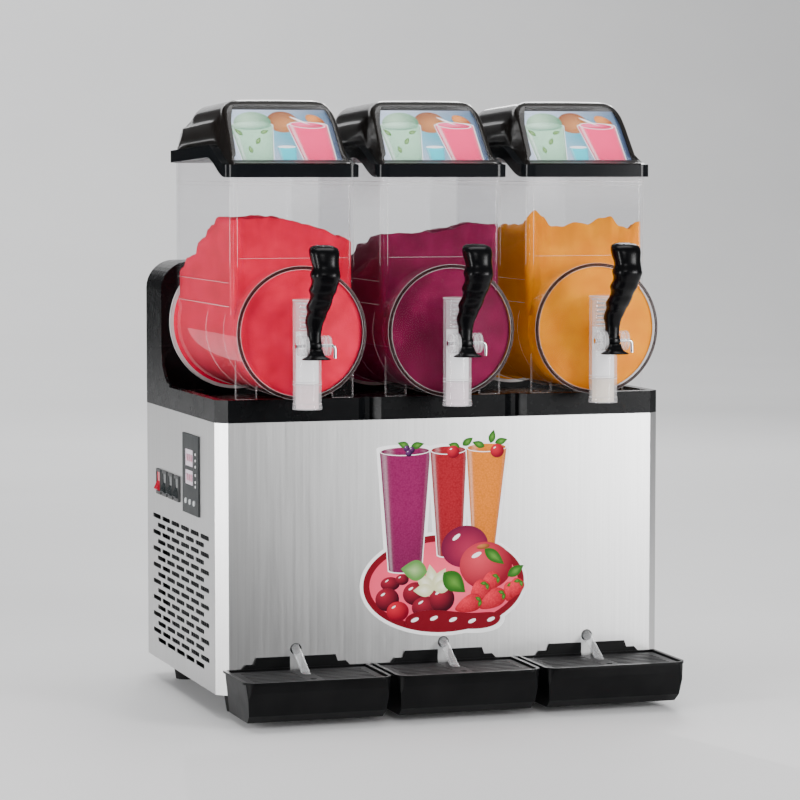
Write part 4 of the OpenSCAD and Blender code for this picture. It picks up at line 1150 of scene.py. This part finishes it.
def fascia_marks():
    """Lamps beside the two display windows, the dark line between, and bars in the windows."""
    x = (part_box("control_fascia")[0].x - LEFT_X) / MM - 0.05
    left = (LEFT_X - CENTRE_X[0]) / MM

    def pad(y, z, half_y, half_z, proud, power=2.0):
        shape = squircle(20, 1, 1, power)
        return lofted([
            [at(0, left + x - out, y + half_y * u * f, z + half_z * v * f) for u, v in shape]
            for out, f in ((-0.2, 1), (proud * 0.6, 1), (proud, 0.8))
        ])

    dark = [pad(112.5, -68, 1.2, 25, 0.25, 8.0)]
    lamps = [pad(104, z, 1.9, 1.9, 0.6) for z in (-48, -56, -64, -75, -84, -90)]
    bars = [pad(y, z, 3.4, 4.6, 0.3, 5.0) for z in (-55, -80.5) for y in (127, 138, 149)]
    for name, parts, look in (
        ("fascia_line", dark, "mark_dark"),
        ("fascia_lamps", lamps, "mark_pale"),
        ("window_bars", bars, "mark_pink"),
    ):
        piece(name, joined(*parts), "root", LOOKS[look], smooth=False, closed=True)


for n in BOWLS:
    handle_piece(n)
    spring_piece(n)
    ear_ribs(n)
    rim_pieces(n)
    seam_piece(n)
    tap_details(n)
fascia_marks()


# ---------------------------------------------------------------- stage: floor, lights and camera

def stage_floor():
    """A pale floor that curves up into a wall behind the machine."""
    look = Look("pale_floor", roughness=0.55)
    look.feed(color=look.ramp(look.noise(1.5, 3), (0.3, (0.84, 0.84, 0.845)), (0.8, (0.88, 0.88, 0.885))))
    far, back, rise, curve = 14.0, 10.0, 9.0, 3.5
    bend = [math.pi / 2 * k / 12 for k in range(1, 13)]
    profile = [(-far, 0.0), (back - curve, 0.0)]
    profile += [(back - curve + curve * math.sin(t), curve - curve * math.cos(t)) for t in bend]
    profile.append((back, rise))
    points = [Vector((x, y, z)) for y, z in profile for x in (-far, far)]
    faces = [(2 * i, 2 * i + 1, 2 * i + 3, 2 * i + 2) for i in range(len(profile) - 1)]
    floor = new_mesh("floor", (points, faces), [look])
    for polygon in floor.data.polygons:
        polygon.use_smooth = True


def soft_light(name, place, size, power, target=(0, 0, 0.4)):
    """A rectangular lamp facing a target."""
    lamp = bpy.data.lights.new(name, "AREA")
    lamp.shape = "RECTANGLE"
    lamp.size, lamp.size_y = size
    lamp.energy = power
    thing = bpy.data.objects.new(name, lamp)
    bpy.context.scene.collection.objects.link(thing)
    thing.location = place
    thing.visible_camera = False
    thing.rotation_mode = "QUATERNION"
    thing.rotation_quaternion = (Vector(target) - Vector(place)).to_track_quat("-Z", "Y")


def dark_card(name, corners):
    """A dark card that only reflections see."""
    look = Look(name, roughness=0.9, specular=0.0)
    look.feed(color=look.ramp(look.noise(3, 2), (0.3, (0.004,) * 3), (0.8, (0.008,) * 3)))
    card = new_mesh(name, (corners, [(0, 1, 2, 3)]), [look])
    card.visible_camera = False
    card.visible_diffuse = False
    card.visible_shadow = False
    card.visible_transmission = False


def stage_camera():
    """Seen from the machine's left front, slightly above, from about four metres."""
    lens = bpy.data.cameras.new("camera")
    lens.lens = 143.6
    lens.sensor_width = 36
    camera = bpy.data.objects.new("camera", lens)
    bpy.context.scene.collection.objects.link(camera)
    camera.location = at(0, -1298.1, -3878.7, 326.2)
    camera.rotation_euler = (math.radians(90 - 4.236), 0, math.radians(-17.72))
    bpy.context.scene.camera = camera


stage_floor()
dark_card("flag_left", [(-6.5, 4.5, 0.01), (-0.8, 6.5, 0.01), (-0.8, 6.5, 5), (-6.5, 4.5, 5)])
dark_card("flag_front", [(-0.9, -2.6, 0.006), (0.7, -2.6, 0.006), (0.7, -2.6, 1.5), (-0.9, -2.6, 1.5)])
dark_card("flag_floor", [(-0.9, -2.6, 0.004), (0.7, -2.6, 0.004), (0.2, -0.34, 0.004), (-0.4, -0.34, 0.004)])
soft_light("edge_left", (-2.7, -0.95, 0.75), (0.6, 1.6), 62)
soft_light("back_left", (-2.9, 1.9, 0.45), (0.8, 0.9), 16)
soft_light("right", (2.0, -2.8, 0.8), (1.0, 1.6), 120)
soft_light("front", (-0.9, -3.6, 2.4), (1.6, 0.9), 26)
soft_light("top", (0.0, 0.1, 2.8), (2.4, 1.6), 60)
soft_light("rear", (1.6, 3.6, 2.2), (1.8, 1.2), 45)
soft_light("backdrop", (0.0, 4.5, 5.5), (5.0, 2.0), 420, target=(0, 9.5, 1.2))
world = bpy.data.worlds.new("room")
world.use_nodes = True
sky = world.node_tree.nodes["Background"].inputs
sky["Color"].default_value = (0.86, 0.87, 0.88, 1)
sky["Strength"].default_value = 0.22
bpy.context.scene.world = world
stage_camera()
